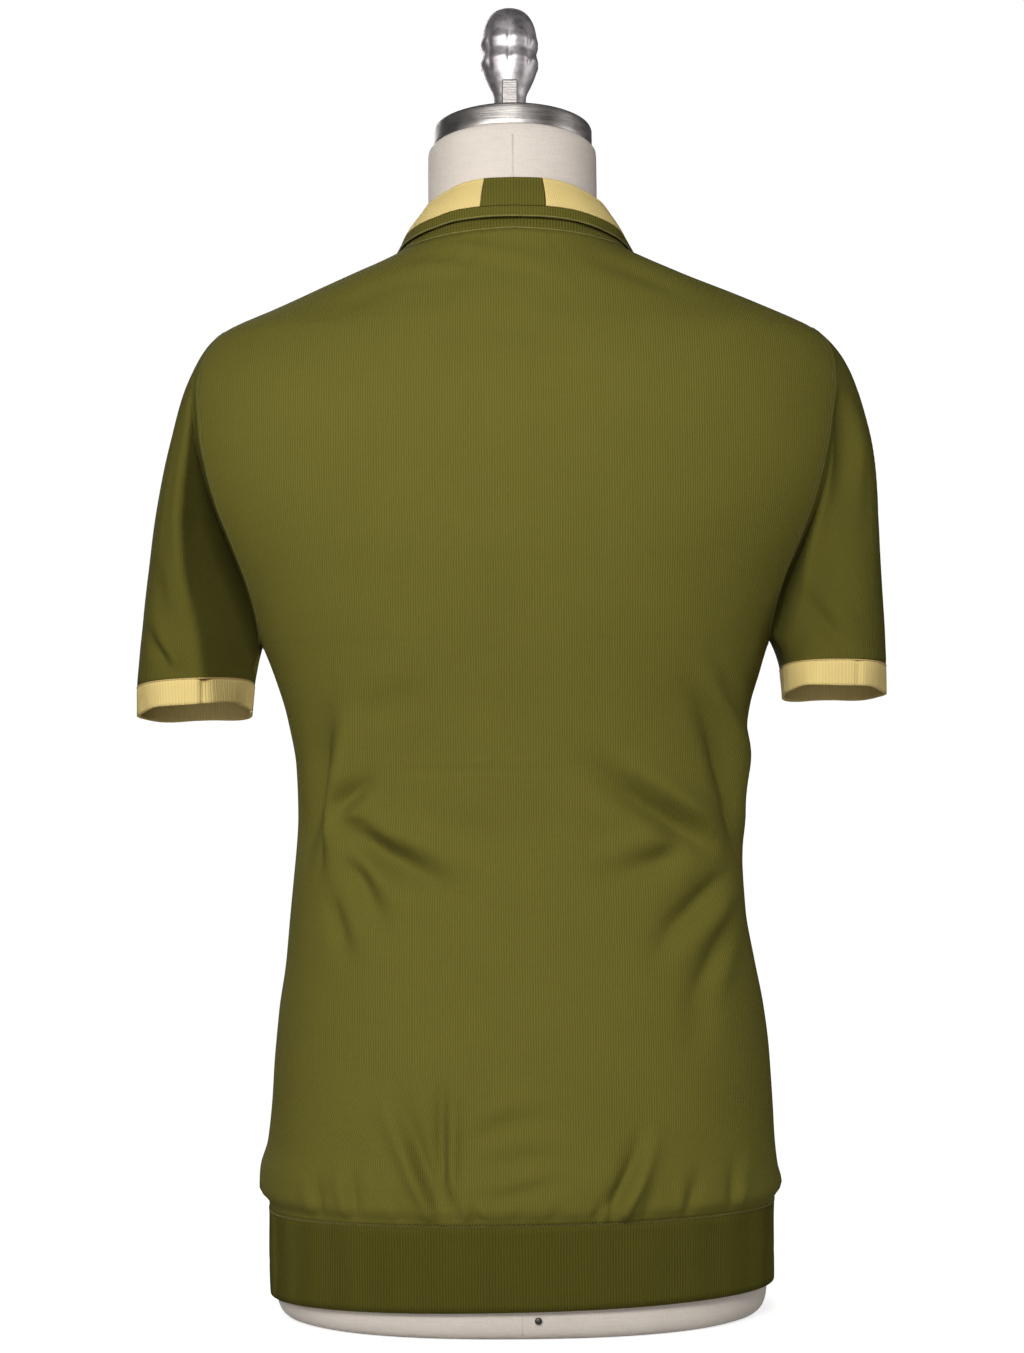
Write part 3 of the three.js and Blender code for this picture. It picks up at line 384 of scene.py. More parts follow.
def form(turn, z):
    half, back, front, roundness = [value(z) for value in form_columns]
    x, y = oval(turn, half, half, back, front, roundness)
    lean = -NECK_LEAN * np.maximum(0, z - NECK_START) * np.minimum(1, (z - NECK_START) / 22)
    return stacked(x, y + np.where(z > NECK_START, lean, 0), z)


def smoothstep(t):
    t = np.clip(t, 0, 1)
    return t * t * (3 - 2 * t)


def course(line, step=1.5):
    """A smooth course through the points of a line, as places, directions and shares of its length."""
    p = np.array(line, float)
    p = np.vstack([2 * p[0] - p[1], p, 2 * p[-1] - p[-2]])
    places = []
    for k in range(1, len(p) - 2):
        count = max(2, int(np.linalg.norm(p[k + 1] - p[k]) / step))
        t = (np.arange(count) / count)[:, None]
        a = 2 * p[k]
        b = p[k + 1] - p[k - 1]
        c = 2 * p[k - 1] - 5 * p[k] + 4 * p[k + 1] - p[k + 2]
        d = 3 * p[k] - p[k - 1] - 3 * p[k + 1] + p[k + 2]
        places.append(0.5 * (a + b * t + c * t * t + d * t ** 3))
    places = np.vstack(places + [p[-2:-1]])
    along = np.r_[0, np.cumsum(np.linalg.norm(np.diff(places, axis=0), axis=1))]
    return places, unit(np.gradient(places, axis=0)), along / along[-1]


def folding(folds, points, normals):
    """How far the folds push each place out, or in below zero."""
    push = np.zeros(points.shape[:-1])
    flat = points[..., [0, 2]]
    for face, depth, width_start, width_end, peak, lift, crisp, line in folds:
        places, ways, along = course(line)
        reach = 3.6 * max(width_start, width_end)
        near = np.all((flat > places.min(0) - reach) & (flat < places.max(0) + reach), axis=-1)
        near &= normals[..., 1] * face > 0.02
        if not near.any():
            continue
        here = flat[near]
        gaps = np.linalg.norm(here[:, None, :] - places[None], axis=-1)
        k = gaps.argmin(axis=1)
        gap = gaps[np.arange(len(k)), k]
        away = here - places[k]
        side = np.sign(ways[k, 0] * away[:, 1] - ways[k, 1] * away[:, 0])
        width = width_start + (width_end - width_start) * along[k]
        rising = smoothstep((along[k] + 0.06) / (peak + 0.06))
        falling = smoothstep((1.04 - along[k]) / (1.04 - peak))
        trough = np.exp(-((gap / width) ** (2 - crisp)))
        raised_side = -face * side * np.sign(lift or 1)
        beside = np.exp(-(((raised_side * gap - 1.7 * width) / (1.1 * width)) ** 2))
        facing_share = np.minimum(1, 4 * normals[near][:, 1] * face)
        push[near] += np.minimum(rising, falling) * facing_share * depth * (abs(lift) * beside - trough)
    return push


def waver(points):
    """The slight unevenness of cloth that hangs free."""
    x = points[..., 0]
    y = points[..., 1]
    z = points[..., 2]
    broad = np.sin(x / 19 + z / 43 + 1) * np.sin(z / 23 - x / 61 + y / 57)
    small = np.sin(x / 8.3 - z / 31 + 2) * np.sin(z / 9.7 + x / 27 - y / 23)
    return 0.26 * broad + 0.09 * small


def seam_height(turn):
    return RIB_SEAM - 2 * np.cos(turn) - 3 * np.cos(turn) ** 4


def hem_height(turn):
    return HEM - 3.6 * np.cos(turn) - 2 * np.cos(turn) ** 4


def neckline(turn):
    return neckline_height(np.degrees(np.arcsin(np.sin(turn))))


def armhole(angle):
    """Turn and height of the left armhole's edge by the angle round it, from the shoulder tip."""
    s = np.sin(angle)
    reach = np.where(s >= 0, ARMHOLE_BACK, -ARMHOLE_FRONT)
    turn = np.radians(reach) * np.abs(s) ** 0.75
    return turn, (SHOULDER_TIP + ARMPIT) / 2 + (SHOULDER_TIP - ARMPIT) / 2 * np.cos(angle)


def mirrored(turn, side):
    return turn if side > 0 else np.pi - turn


def front_turn(x, z):
    """Turn on the front where the surface has this x at this height."""
    half = np.where(x > 0, garment_columns[0](z), garment_columns[1](z))
    c = (np.abs(x) / half) ** (garment_columns[4](z) / 2)
    return -np.arccos(np.sign(x) * c)


def sheet_normals(rows, closed):
    if closed:
        across = np.roll(rows, -1, axis=1) - np.roll(rows, 1, axis=1)
    else:
        across = np.gradient(rows, axis=1)
    up = np.gradient(rows, axis=0)
    return unit(np.cross(across, up))


# Mesh making: every piece by its name

pieces = {}


def make_mesh(name, points, faces, uvs, smooth, material):
    """An object from points in millimetres, lists of quads or triangles, and a place in millimetres of flat
    cloth for each corner."""
    mesh = bpy.data.meshes.new(name)
    mesh.from_pydata((np.asarray(points) * 0.001).tolist(), [], faces)
    mesh.polygons.foreach_set("use_smooth", np.asarray(smooth, bool))
    if uvs is not None:
        layer = mesh.uv_layers.new(name="flat")
        layer.data.foreach_set("uv", np.asarray(uvs, np.float32).ravel())
    mesh.materials.append(material)
    mesh.validate()
    mesh.update()
    piece = bpy.data.objects.new(name + "_detail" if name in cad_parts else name, mesh)
    bpy.context.scene.collection.objects.link(piece)
    pieces[name] = piece
    return piece


def arc_places(rows, closed, straight=False):
    """Place of each grid point on the flat cloth: across from the middle column and up from the first row.
    straight keeps the columns upright."""
    if closed:
        rows = np.concatenate([rows, rows[:, :1]], axis=1)
    steps = np.linalg.norm(np.diff(rows, axis=1), axis=-1)
    across = np.concatenate([np.zeros((len(rows), 1)), np.cumsum(steps, axis=1)], axis=1)
    middle = rows.shape[1] // 2
    across = across - across[:, middle : middle + 1]
    if straight:
        across = np.broadcast_to(across.mean(axis=0), across.shape)
    steps = np.linalg.norm(np.diff(rows, axis=0), axis=-1)
    up = np.concatenate([np.zeros((1, rows.shape[1])), np.cumsum(steps, axis=0)])
    return stacked(across, up)


def wall(name, rows, normals, thick, material, closed=False, keep=None, flat=None):
    """A closed wall about a grid of points. keep marks the cells that are cloth."""
    tall, wide = rows.shape[:2]
    cells_across = wide if closed else wide - 1
    if keep is None:
        keep = np.ones((tall - 1, cells_across), bool)
    flat = arc_places(rows, closed) if flat is None else flat
    points = np.concatenate([rows + normals * thick / 2, rows - normals * thick / 2]).reshape(-1, 3)

    def corner(face, j, i):
        return (face * tall + j) * wide + (i % wide if closed else i)

    j, i = np.nonzero(keep)
    outer = [(j, i), (j, i + 1), (j + 1, i + 1), (j + 1, i)]
    quads = [np.stack([corner(0, a, b) for a, b in outer], axis=1)]
    quads.append(np.stack([corner(1, a, b) for a, b in outer[::-1]], axis=1))
    uvs = [np.stack([flat[a, b] for a, b in outer], axis=1)]
    uvs.append(np.stack([flat[a, b] for a, b in outer[::-1]], axis=1))
    count = 2 * len(j)

    # The rim goes round every edge where the cloth ends
    padded = np.zeros((tall + 1, cells_across + 2), bool)
    padded[1:-1, 1:-1] = keep
    if closed:
        padded[1:-1, 0] = keep[:, -1]
        padded[1:-1, -1] = keep[:, 0]
    sides = [
        (~padded[:-2, 1:-1], (0, 0), (0, 1)),
        (~padded[2:, 1:-1], (1, 1), (1, 0)),
        (~padded[1:-1, :-2], (1, 0), (0, 0)),
        (~padded[1:-1, 2:], (0, 1), (1, 1)),
    ]
    for open_side, start, end in sides:
        j, i = np.nonzero(keep & open_side)
        a = (j + start[0], i + start[1])
        b = (j + end[0], i + end[1])
        quads.append(np.stack([corner(0, *b), corner(0, *a), corner(1, *a), corner(1, *b)], axis=1))
        uvs.append(np.stack([flat[b], flat[a], flat[a], flat[b]], axis=1))
    quads = np.concatenate(quads)
    smooth = np.arange(len(quads)) < count
    return make_mesh(name, points, quads.tolist(), np.concatenate(uvs), smooth, material)


def revolve(profile, wide, bump=None):
    """Points and faces of a body of revolution about its own Z from pairs of radius and height."""
    turns = 2 * np.pi * np.arange(wide) / wide
    rings = []
    for k, (radius, height) in enumerate(profile):
        r = radius if bump is None else radius * bump(turns, height)
        rings.append(stacked(r * np.cos(turns), r * np.sin(turns), height + 0 * turns))
    return ring_body(np.array(rings))


def ring_body(rings):
    tall, wide = rings.shape[:2]
    points = np.concatenate([rings.reshape(-1, 3), [rings[0].mean(0)], [rings[-1].mean(0)]])
    faces = []
    for j in range(tall - 1):
        for i in range(wide):
            n = (i + 1) % wide
            faces.append((j * wide + i, j * wide + n, (j + 1) * wide + n, (j + 1) * wide + i))
    low = tall * wide
    for i in range(wide):
        n = (i + 1) % wide
        faces.append((n, i, low))
        faces.append(((tall - 1) * wide + i, (tall - 1) * wide + n, low + 1))
    return points, faces


def placed(points, at, up, right=None):
    """Points about their own Z moved to a place with that axis along up."""
    up = unit(np.array(up, float))
    right = np.array([1.0, 0, 0]) if right is None else np.array(right, float)
    right = unit(right - up * np.dot(right, up))
    ahead = np.cross(up, right)
    return np.array(at, float) + points @ np.array([right, ahead, up])


def body_piece(name, points, faces, material, uvs=None, smooth=True):
    return make_mesh(name, points, faces, uvs, [smooth] * len(faces), material)


def tube(path, normals, radius, sides=6, squash=1.0):
    """Points and faces of a thread along a path, closed at both ends. It lies on its side of the normals."""
    path = np.asarray(path, float)
    along = unit(np.gradient(path, axis=0))
    across = unit(np.cross(along, normals))
    over = unit(np.cross(across, along))
    turns = 2 * np.pi * np.arange(sides) / sides
    rings = (
        path[:, None]
        + radius * np.cos(turns)[None, :, None] * across[:, None]
        + radius * squash * np.sin(turns)[None, :, None] * over[:, None]
    )
    return ring_body(rings)


def joined(bodies):
    points = []
    faces = []
    count = 0
    for some_points, some_faces in bodies:
        points.append(some_points)
        faces += [tuple(k + count for k in face) for face in some_faces]
        count += len(some_points)
    return np.concatenate(points), faces


def new_material(name, **sockets):
    material = bpy.data.materials.new(name)
    material.use_nodes = True
    tree = material.node_tree
    shader = tree.nodes["Principled BSDF"]
    for key, value in sockets.items():
        shader.inputs[key.replace("_", " ")].default_value = value
    return material, tree, shader


class Nodes:
    """Short ways to add and join shader nodes."""

    def __init__(self, tree):
        self.tree = tree

    def add(self, kind, **settings):
        node = self.tree.nodes.new(kind)
        for key, value in settings.items():
            setattr(node, key, value)
        return node

    def join(self, source, target):
        self.tree.links.new(source, target)

    def math(self, operation, a, b=None, c=None):
        node = self.add("ShaderNodeMath", operation=operation)
        for k, value in enumerate((a, b, c)):
            if value is None:
                continue
            if isinstance(value, (int, float)):
                node.inputs[k].default_value = value
            else:
                self.join(value, node.inputs[k])
        return node.outputs[0]

    def noise(self, place, scale, detail=3, roughness=0.55):
        node = self.add("ShaderNodeTexNoise")
        node.inputs["Scale"].default_value = scale
        node.inputs["Detail"].default_value = detail
        node.inputs["Roughness"].default_value = roughness
        self.join(place, node.inputs["Vector"])
        return node.outputs["Fac"]

    def ramp(self, value, stops):
        node = self.add("ShaderNodeValToRGB")
        while len(node.color_ramp.elements) < len(stops):
            node.color_ramp.elements.new(0.5)
        for element, (place, colour) in zip(node.color_ramp.elements, stops):
            element.position = place
            element.color = (*colour, 1)
        self.join(value, node.inputs["Fac"])
        return node.outputs["Color"]

    def scaled(self, vector, scale):
        node = self.add("ShaderNodeVectorMath", operation="MULTIPLY")
        self.join(vector, node.inputs[0])
        node.inputs[1].default_value = scale
        return node.outputs[0]

    def bump(self, shader, height, distance, strength=1.0, under=None):
        node = self.add("ShaderNodeBump")
        node.inputs["Distance"].default_value = distance
        node.inputs["Strength"].default_value = strength
        self.join(height, node.inputs["Height"])
        if under is not None:
            self.join(under, node.inputs["Normal"])
        self.join(node.outputs["Normal"], shader.inputs["Normal"])
        return node.outputs["Normal"]


def shade(colour, factor):
    return tuple(min(1, c * factor) for c in colour)


COURSE_SHARE = 0.35


def knit(name, colour, wale, course_height, wale_depth, mottle=0.15, wale_painted_shade=0.25, sheen=0.02):
    """A knit: wales run up the flat cloth, courses of loops cross them, the yarn is slightly uneven, and
    painted shade darkens the colour between the wales.
    """
    material, tree, shader = new_material(name, Roughness=0.92)
    shader.inputs["Specular IOR Level"].default_value = 0.05
    shader.inputs["Sheen Weight"].default_value = sheen
    shader.inputs["Sheen Roughness"].default_value = 0.5
    shader.inputs["Sheen Tint"].default_value = (*[min(1, 0.35 + 1.6 * c) for c in colour], 1)
    n = Nodes(tree)
    flat = n.add("ShaderNodeUVMap", uv_map="flat").outputs["UV"]
    parts = n.add("ShaderNodeSeparateXYZ")
    n.join(flat, parts.inputs[0])
    u = parts.outputs["X"]
    v = parts.outputs["Y"]
    # Slow drift, so that the wales aren't ruled lines
    drift = n.noise(n.scaled(flat, (0.05, 0.02, 0)), 1, 2)
    u = n.math("MULTIPLY_ADD", drift, 1.6, u)
    wave = n.math("SINE", n.math("MULTIPLY", u, 2 * math.pi / wale))
    wales = n.math("MULTIPLY_ADD", wave, 0.5, 0.5)
    slant = n.math("MULTIPLY", n.math("ABSOLUTE", wave), 0.9)
    loop = n.math("MULTIPLY_ADD", v, 2 * math.pi / course_height, slant)
    loops = n.math("MULTIPLY_ADD", n.math("SINE", loop), 0.5, 0.5)
    fine = n.noise(flat, 0.7, 3, 0.7)
    height = n.math("MULTIPLY_ADD", loops, COURSE_SHARE, wales)
    height = n.math("MULTIPLY_ADD", fine, 0.5, height)
    # Colour: painted shade between the wales, broken by uneven yarn along the courses and broad cloudiness
    streaks = n.noise(n.scaled(flat, (0.03, 0.5, 0)), 1, 4, 0.65)
    clouds = n.noise(n.scaled(flat, (0.02, 0.02, 0)), 1, 3)
    # Painted shade: the colour darkens in the grooves between the raised wales
    tone = n.math("MULTIPLY", wales, wale_painted_shade)
    tone = n.math("MULTIPLY_ADD", fine, mottle, tone)
    tone = n.math("MULTIPLY_ADD", streaks, 0.8 * mottle, tone)
    tone = n.math("MULTIPLY_ADD", clouds, 0.8 * mottle, tone)
    tone = n.math("ADD", tone, 1 - 0.5 * wale_painted_shade - 1.3 * mottle)
    mix = n.add("ShaderNodeMix", data_type="RGBA", blend_type="MULTIPLY")
    mix.inputs["Factor"].default_value = 1
    mix.inputs["A"].default_value = (*colour, 1)
    grey = n.add("ShaderNodeCombineXYZ")
    for k in range(3):
        n.join(tone, grey.inputs[k])
    n.join(grey.outputs[0], mix.inputs["B"])
    n.join(mix.outputs["Result"], shader.inputs["Base Color"])
    n.bump(shader, height, wale_depth * 0.001, 0.8)
    return material


def linen_material(name, colour):
    material, tree, shader = new_material(name, Roughness=0.9)
    shader.inputs["Specular IOR Level"].default_value = 0.2
    shader.inputs["Sheen Weight"].default_value = 0.1
    n = Nodes(tree)
    place = n.add("ShaderNodeTexCoord").outputs["Object"]
    warp = n.noise(n.scaled(place, (1500, 1500, 120)), 1, 3)
    weft = n.noise(n.scaled(place, (120, 120, 1500)), 1, 3)
    slubs = n.noise(n.scaled(place, (60, 60, 900)), 1, 2, 0.7)
    soft = n.noise(place, 18, 3)
    height = n.math("ADD", warp, weft)
    tone = n.math("MULTIPLY", n.math("ADD", n.math("ADD", warp, weft), n.math("ADD", slubs, soft)), 0.25)
    n.join(
        n.ramp(tone, [(0.34, shade(colour, 0.86)), (0.5, colour), (0.66, shade(colour, 1.08))]),
        shader.inputs["Base Color"],
    )
    n.bump(shader, height, 0.0003, 0.7)
    return material


def metal_material(name, colour, rough, grain, dark):
    """A metal whose grain is a stretch of noise along X, Y and Z."""
    material, tree, shader = new_material(name, Metallic=1.0)
    n = Nodes(tree)
    place = n.add("ShaderNodeTexCoord").outputs["Object"]
    streaks = n.noise(n.scaled(place, grain), 1, 4, 0.6)
    blots = n.noise(place, 90, 4, 0.6)
    tone = n.math("ADD", n.math("MULTIPLY", streaks, 0.6), n.math("MULTIPLY", blots, 0.4))
    n.join(
        n.ramp(tone, [(0.3, shade(colour, dark)), (0.52, colour), (0.75, shade(colour, 1.25))]),
        shader.inputs["Base Color"],
    )
    n.join(n.math("MULTIPLY_ADD", tone, 0.4, rough - 0.2), shader.inputs["Roughness"])
    n.bump(shader, tone, 0.0004, 0.6)
    return material


def plain_material(name, colour, rough, mottle, scale):
    """A dyed plastic or a thread that is slightly mottled."""
    material, tree, shader = new_material(name)
    n = Nodes(tree)
    place = n.add("ShaderNodeTexCoord").outputs["Object"]
    tone = n.noise(place, scale, 4)
    n.join(
        n.ramp(tone, [(0.3, shade(colour, 1 - mottle)), (0.7, shade(colour, 1 + mottle))]),
        shader.inputs["Base Color"],
    )
    n.join(n.math("MULTIPLY_ADD", tone, 0.2, rough - 0.1), shader.inputs["Roughness"])
    n.bump(shader, tone, 0.0002, 0.4)
    return material


GREEN = (0.128, 0.115, 0.0195)
# The rib's green holds painted shade: it is darker for the shade in the rib's hollows and against the light
# that the floor throws up at the waistband
RIB_GREEN_WITH_PAINTED_SHADE = (0.074, 0.066, 0.0095)
YELLOW = (0.74, 0.57, 0.225)

jersey = knit("jersey", GREEN, 1.7, 1.3, 0.22)
# The sleeves take the body's green with painted shade, at 0.78 of its brightness
sleeve_knit_painted_shade = knit("sleeve_knit_painted_shade", shade(GREEN, 0.78), 1.7, 1.3, 0.22)
band_knit = knit("band_knit", shade(GREEN, 0.8), 2.2, 1.3, 0.35, wale_painted_shade=0.4)
# The waistband's knit carries the rib green with its painted shade
rib_knit_with_painted_shade = knit("rib_knit_with_painted_shade", RIB_GREEN_WITH_PAINTED_SHADE, 2.0, 1.3, 0.2, wale_painted_shade=0.35)
stripe_knit = knit("stripe_knit", shade(GREEN, 0.85), 1.9, 1.3, 0.3, wale_painted_shade=0.4)
yellow_knit = knit("yellow_knit", YELLOW, 1.5, 1.2, 0.25, mottle=0.06, wale_painted_shade=0.14, sheen=0.03)
yellow_rib = knit("yellow_rib", YELLOW, 2.2, 1.3, 0.15, mottle=0.06, wale_painted_shade=0.1, sheen=0.03)
linen = linen_material("linen", (0.68, 0.61, 0.54))
cap_metal = metal_material("cap_metal", (0.46, 0.43, 0.41), 0.42, (30, 30, 1400), 0.7)
knob_metal = metal_material("knob_metal", (0.72, 0.67, 0.68), 0.5, (160, 160, 160), 0.6)
nail_metal = metal_material("nail_metal", (0.1, 0.09, 0.08), 0.45, (300, 300, 300), 0.6)
button_plastic = plain_material("button_plastic", (0.11, 0.098, 0.022), 0.3, 0.15, 300)
thread_green = plain_material("thread_green", (0.1, 0.09, 0.016), 0.85, 0.2, 900)
thread_mid = plain_material("thread_mid", (0.17, 0.152, 0.032), 0.85, 0.25, 900)
thread_yellow = plain_material("thread_yellow", (0.55, 0.4, 0.15), 0.85, 0.15, 900)


# The back and front panels: how close the rows of their grids lie by height, for the folds

ROW_CROWDING = [[77, 1.3], [110, 1], [190, 0.7], [260, 1], [300, 1.5], [385, 1.5], [420, 1], [458, 0.8]]


def clustered(count, share):
    """Shares from 0 to 1 that lie closer at both ends."""
    s = np.arange(count + 1) / count
    return s - share * np.sin(2 * np.pi * s) / (2 * np.pi)


def panel_plan(face, columns, side_rows, arm_rows, shoulder_rows):
    """Turn and height of a body panel's grid: up the side seam, round the armhole, along the shoulder."""
    u = clustered(columns, 0.15)[None, :]
    low = seam_height(0.0) + SEAM / 2
    heights = np.linspace(low, ARMPIT, 400)
    crowd = np.interp(heights, [row[0] for row in ROW_CROWDING], [row[1] for row in ROW_CROWDING])
    crowd = np.cumsum(crowd) - crowd[0]
    t = np.interp(np.arange(side_rows) / side_rows, crowd / crowd[-1], (heights - low) / (ARMPIT - low))
    side_turn = [0 * t]
    side_z = [low + (ARMPIT - low) * t]
    share = [0.54 * t]
    rise_low = [1 - t]
    t = np.arange(arm_rows) / arm_rows
    turn, z = armhole(face * np.pi * (1 - t))
    side_turn.append(turn)
    side_z.append(z)
    share.append(0.54 + 0.325 * t)
    rise_low.append(0 * t)
    t = np.arange(shoulder_rows + 1) / shoulder_rows
    top = neckline(0.0) - SEAM / 2
    side_turn.append(0 * t)
    side_z.append(SHOULDER_TIP + (top - SHOULDER_TIP) * t)
    share.append(0.865 + 0.135 * t)
    rise_low.append(0 * t)
    side_turn, side_z, share, rise_low = [
        np.concatenate(part)[:, None] for part in (side_turn, side_z, share, rise_low)
    ]
    flat = face * np.pi * u
    across = flat + (1 - 2 * u) * side_turn
    rise = rise_low * (seam_height(flat) - seam_height(0.0)) + share ** 3 * (neckline(flat) - neckline(0.0))
    edge = 0.0012
    if face > 0:
        across = np.clip(across, edge, np.pi - edge)
    else:
        across = np.clip(across, -np.pi + edge, -edge)
    return across, side_z + rise


def edge_fade(shape, side, bottom, top):
    """Zero at the edges of a grid and one inside, over this many rows or columns."""
    tall, wide = shape
    j = np.arange(tall)[:, None]
    i = np.arange(wide)[None, :]
    fade = np.minimum(i, wide - 1 - i) / side
    fade = np.minimum(fade, np.minimum((j + 0.35) / bottom, (tall - 1 - j) / top))
    return smoothstep(fade)


def placket_print(points):
    """The front's placket shows faintly through the back as a slightly raised strip."""
    x = points[..., 0]
    z = points[..., 2]
    inside = np.minimum(np.minimum(x + 12, 16 - x), np.minimum(z - 492, 655 - z))
    return 0.45 * smoothstep((inside + 1.5) / 3) * (points[..., 1] > 0)


def draped(turn, z, fade):
    points = garment(turn, z)
    normals = outward(turn, z)
    push = folding(FOLDS, points, normals) + waver(points) + placket_print(points)
    room = np.maximum(0.4, np.sum((points - form(turn, z)) * normals, axis=-1) - 1.2)
    push = np.where(push < 0, -room * np.tanh(-push / room), push)
    return points + normals * (fade * push)[..., None], normals


# Cells of each grid: columns, then rows up the side seam, round the armhole and along the shoulder
BACK_GRID = (262, 112, 46, 15)
FRONT_GRID = (150, 96, 60, 16)
SLEEVE_COLUMNS = 132
SLEEVE_ROWS = 100

back_turn, back_z = panel_plan(1, *BACK_GRID)
back_rows, back_normals = draped(back_turn, back_z, edge_fade(back_turn.shape, 5, 1.5, 4))
wall("back", back_rows, back_normals, JERSEY, jersey)

# Two columns of the front follow the placket's slit, and the cells between them are left out above its end
front_turns, front_z = panel_plan(-1, *FRONT_GRID)
slit_half = PLACKET_HALF + SEAM
left_column = 69
right_column = 81
tall, wide = front_turns.shape
end_row = int(np.argmin(np.abs(front_z[:, wide // 2] - (PLACKET_END - SEAM))))
near_end = np.exp(-(((np.arange(tall)[:, None] - end_row) / 9.0) ** 2))
front_z = front_z + near_end * (PLACKET_END - SEAM - front_z[end_row : end_row + 1])
left_turn = front_turn(slit_half, front_z[:, left_column])
right_turn = front_turn(-slit_half, front_z[:, right_column])
stretch = np.arange(wide)
for j in range(tall):
    old = front_turns[j]
    knots = [old[0], old[left_column], old[right_column], old[-1]]
    new = [old[0], left_turn[j], right_turn[j], old[-1]]
    front_turns[j] = np.interp(-old, -np.array(knots), -np.array(new)) * -1
front_rows, front_normals = draped(front_turns, front_z, edge_fade(front_turns.shape, 4, 2, 5))
front_keep = np.ones((tall - 1, wide - 1), bool)
front_keep[end_row:, left_column:right_column] = False
wall("front", front_rows, front_normals, JERSEY, jersey, keep=front_keep)

# The ribbed waistband, its ribs raised round the tube

rib_turns = 2 * np.pi * np.arange(1860) / 1860
rib_share = np.linspace(0, 1, 12)[:, None]
rib_low = hem_height(rib_turns)[None]
rib_z = rib_low + (seam_height(rib_turns)[None] - SEAM / 2 - rib_low) * rib_share
rib_rows = garment(rib_turns[None], rib_z)
rib_normals = outward(rib_turns[None], rib_z)
girth = np.r_[0, np.cumsum(np.linalg.norm(np.diff(rib_rows[0], axis=0), axis=1))]
rib_wave = 0.16 * np.cos(2 * np.pi * girth / (girth[-1] / 465))[None]
turned = 0.7 * np.exp(-((rib_share / 0.06) ** 2)) + 0.5 * np.exp(-(((rib_share - 0.36) / 0.03) ** 2))
rib_soft = 0.5 * np.sin(9 * rib_turns + 1)[None] * np.sin(np.pi * rib_share)
rib_rows = rib_rows + rib_normals * (rib_wave - 0.25 * turned + rib_soft)[..., None]
rib_flat = arc_places(rib_rows, True, straight=True)
wall("waistband", rib_rows, rib_normals, RIB, rib_knit_with_painted_shade, closed=True, flat=rib_flat)

def flanked(points, cuff, share):
    """Cloth behind the sleeve's inner flank, moved forward on to it."""
    table = np.array(cuff["ridge"], float)
    x = points[..., 0]
    y = points[..., 1]
    z = points[..., 2]
    inward = cuff["side"] * (np.interp(z, table[:, 0], table[:, 1]) - x)
    flank = np.interp(z, table[:, 0], table[:, 2]) - FLANK_SLOPE * np.maximum(inward, -3)
    flank = np.maximum(flank, np.interp(z, *FLANK_FRONT))
    over = y - flank - 1
    move = 0.5 * (over + np.sqrt(over ** 2 + FLANK_SOFTNESS ** 2))
    move = move * smoothstep((inward + 5) / 5) * smoothstep((FLANK_TOP[0] - z) / FLANK_TOP[1])
    return stacked(x, y - np.minimum(move, FLANK_DEEPEST) * share, z)


def cuff_ring(cuff, angle, drop):
    """Places and normals round a cuff, this far below its top."""
    ring = flanked(cuff_place(cuff, angle, drop), cuff, 1)
    ahead = flanked(cuff_place(cuff, angle + 0.03, drop), cuff, 1)
    before = flanked(cuff_place(cuff, angle - 0.03, drop), cuff, 1)
    way = ahead - before
    return ring, unit(stacked(way[..., 1], -way[..., 0], 0 * way[..., 0])) * cuff["side"]


def cuff_place(cuff, angle, drop):
    c = np.sign(np.cos(angle)) * np.abs(np.cos(angle)) ** (2 / CUFF_ROUNDNESS)
    s = np.sign(np.sin(angle)) * np.abs(np.sin(angle)) ** (2 / CUFF_ROUNDNESS)
    shrink = 1 - 0.02 * drop / CUFF_HEIGHT
    x = cuff["side"] * cuff["half"] * c * shrink
    y = cuff["deep"] * s * shrink
    z = cuff["z"] + cuff["along_x"] * x + cuff["along_y"] * y - drop
    return stacked(cuff["x"] + x, cuff["y"] + y, z)


def sleeve_sheet(cuff, sweep, columns, tall):
    """Rows of a sleeve from its armhole to its cuff, and their normals."""
    side = cuff["side"]
    reach, dive, slant = sweep
    angle = 2 * np.pi * np.arange(columns) / columns

    def place(a):
        turn, z = armhole(a)
        return garment(mirrored(turn, side), z)

    turn, z = armhole(angle)
    normal = outward(mirrored(turn, side), z)
    leave = unit(np.cross(place(angle + 0.05) - place(angle - 0.05), normal))
    start = place(angle)
    middle = garment(mirrored(0.0, side), 565.0)
    leave = leave * np.where(np.sum(leave * (middle - start), axis=-1) < 0, -1, 1)[:, None]
    start = start + leave * SEAM
    end = cuff_place(cuff, angle, 0 * angle)
    outside = cuff_ring(cuff, angle, 0 * angle)[1]
    high = ((1 + np.cos(angle)) / 2)[:, None]
    behind = (np.maximum(0, np.sin(angle)) ** 1.5)[:, None]
    near = start + leave * (5 + reach * high ** 1.6 + dive * behind)
    far = end + np.array([slant * side, 0, 1]) * (7 + 143 * high ** 1.8)
    t = np.linspace(0, 1, tall + 1)[:, None, None]
    rows = (1 - t) ** 3 * start + 3 * (1 - t) ** 2 * t * near + 3 * (1 - t) * t ** 2 * far + t ** 3 * end
    rows = flanked(rows, cuff, smoothstep(np.linalg.norm(rows - rows[:1], axis=-1) / FLANK_START))
    normals = sheet_normals(rows, True)
    if np.dot(normals[tall, 0], outside[0]) < 0:
        normals = -normals
    j = np.arange(tall + 1)[:, None, None] / tall
    fade = smoothstep(np.minimum(j, 1 - j) / 0.14)
    normals = unit(normals * fade + np.where(j < 0.5, normal, outside) * (1 - fade))
    push = folding(SLEEVE_FOLDS, rows, normals) + waver(rows)
    gather = 0.35 * np.cos(46 * angle)[None, :] * np.exp(-(((1 - j[..., 0]) / 0.035) ** 2))
    edge = smoothstep(np.minimum(j[..., 0], 1 - j[..., 0]) / 0.07)
    return rows + normals * (edge * push + gather * (j[..., 0] < 0.999))[..., None], normals


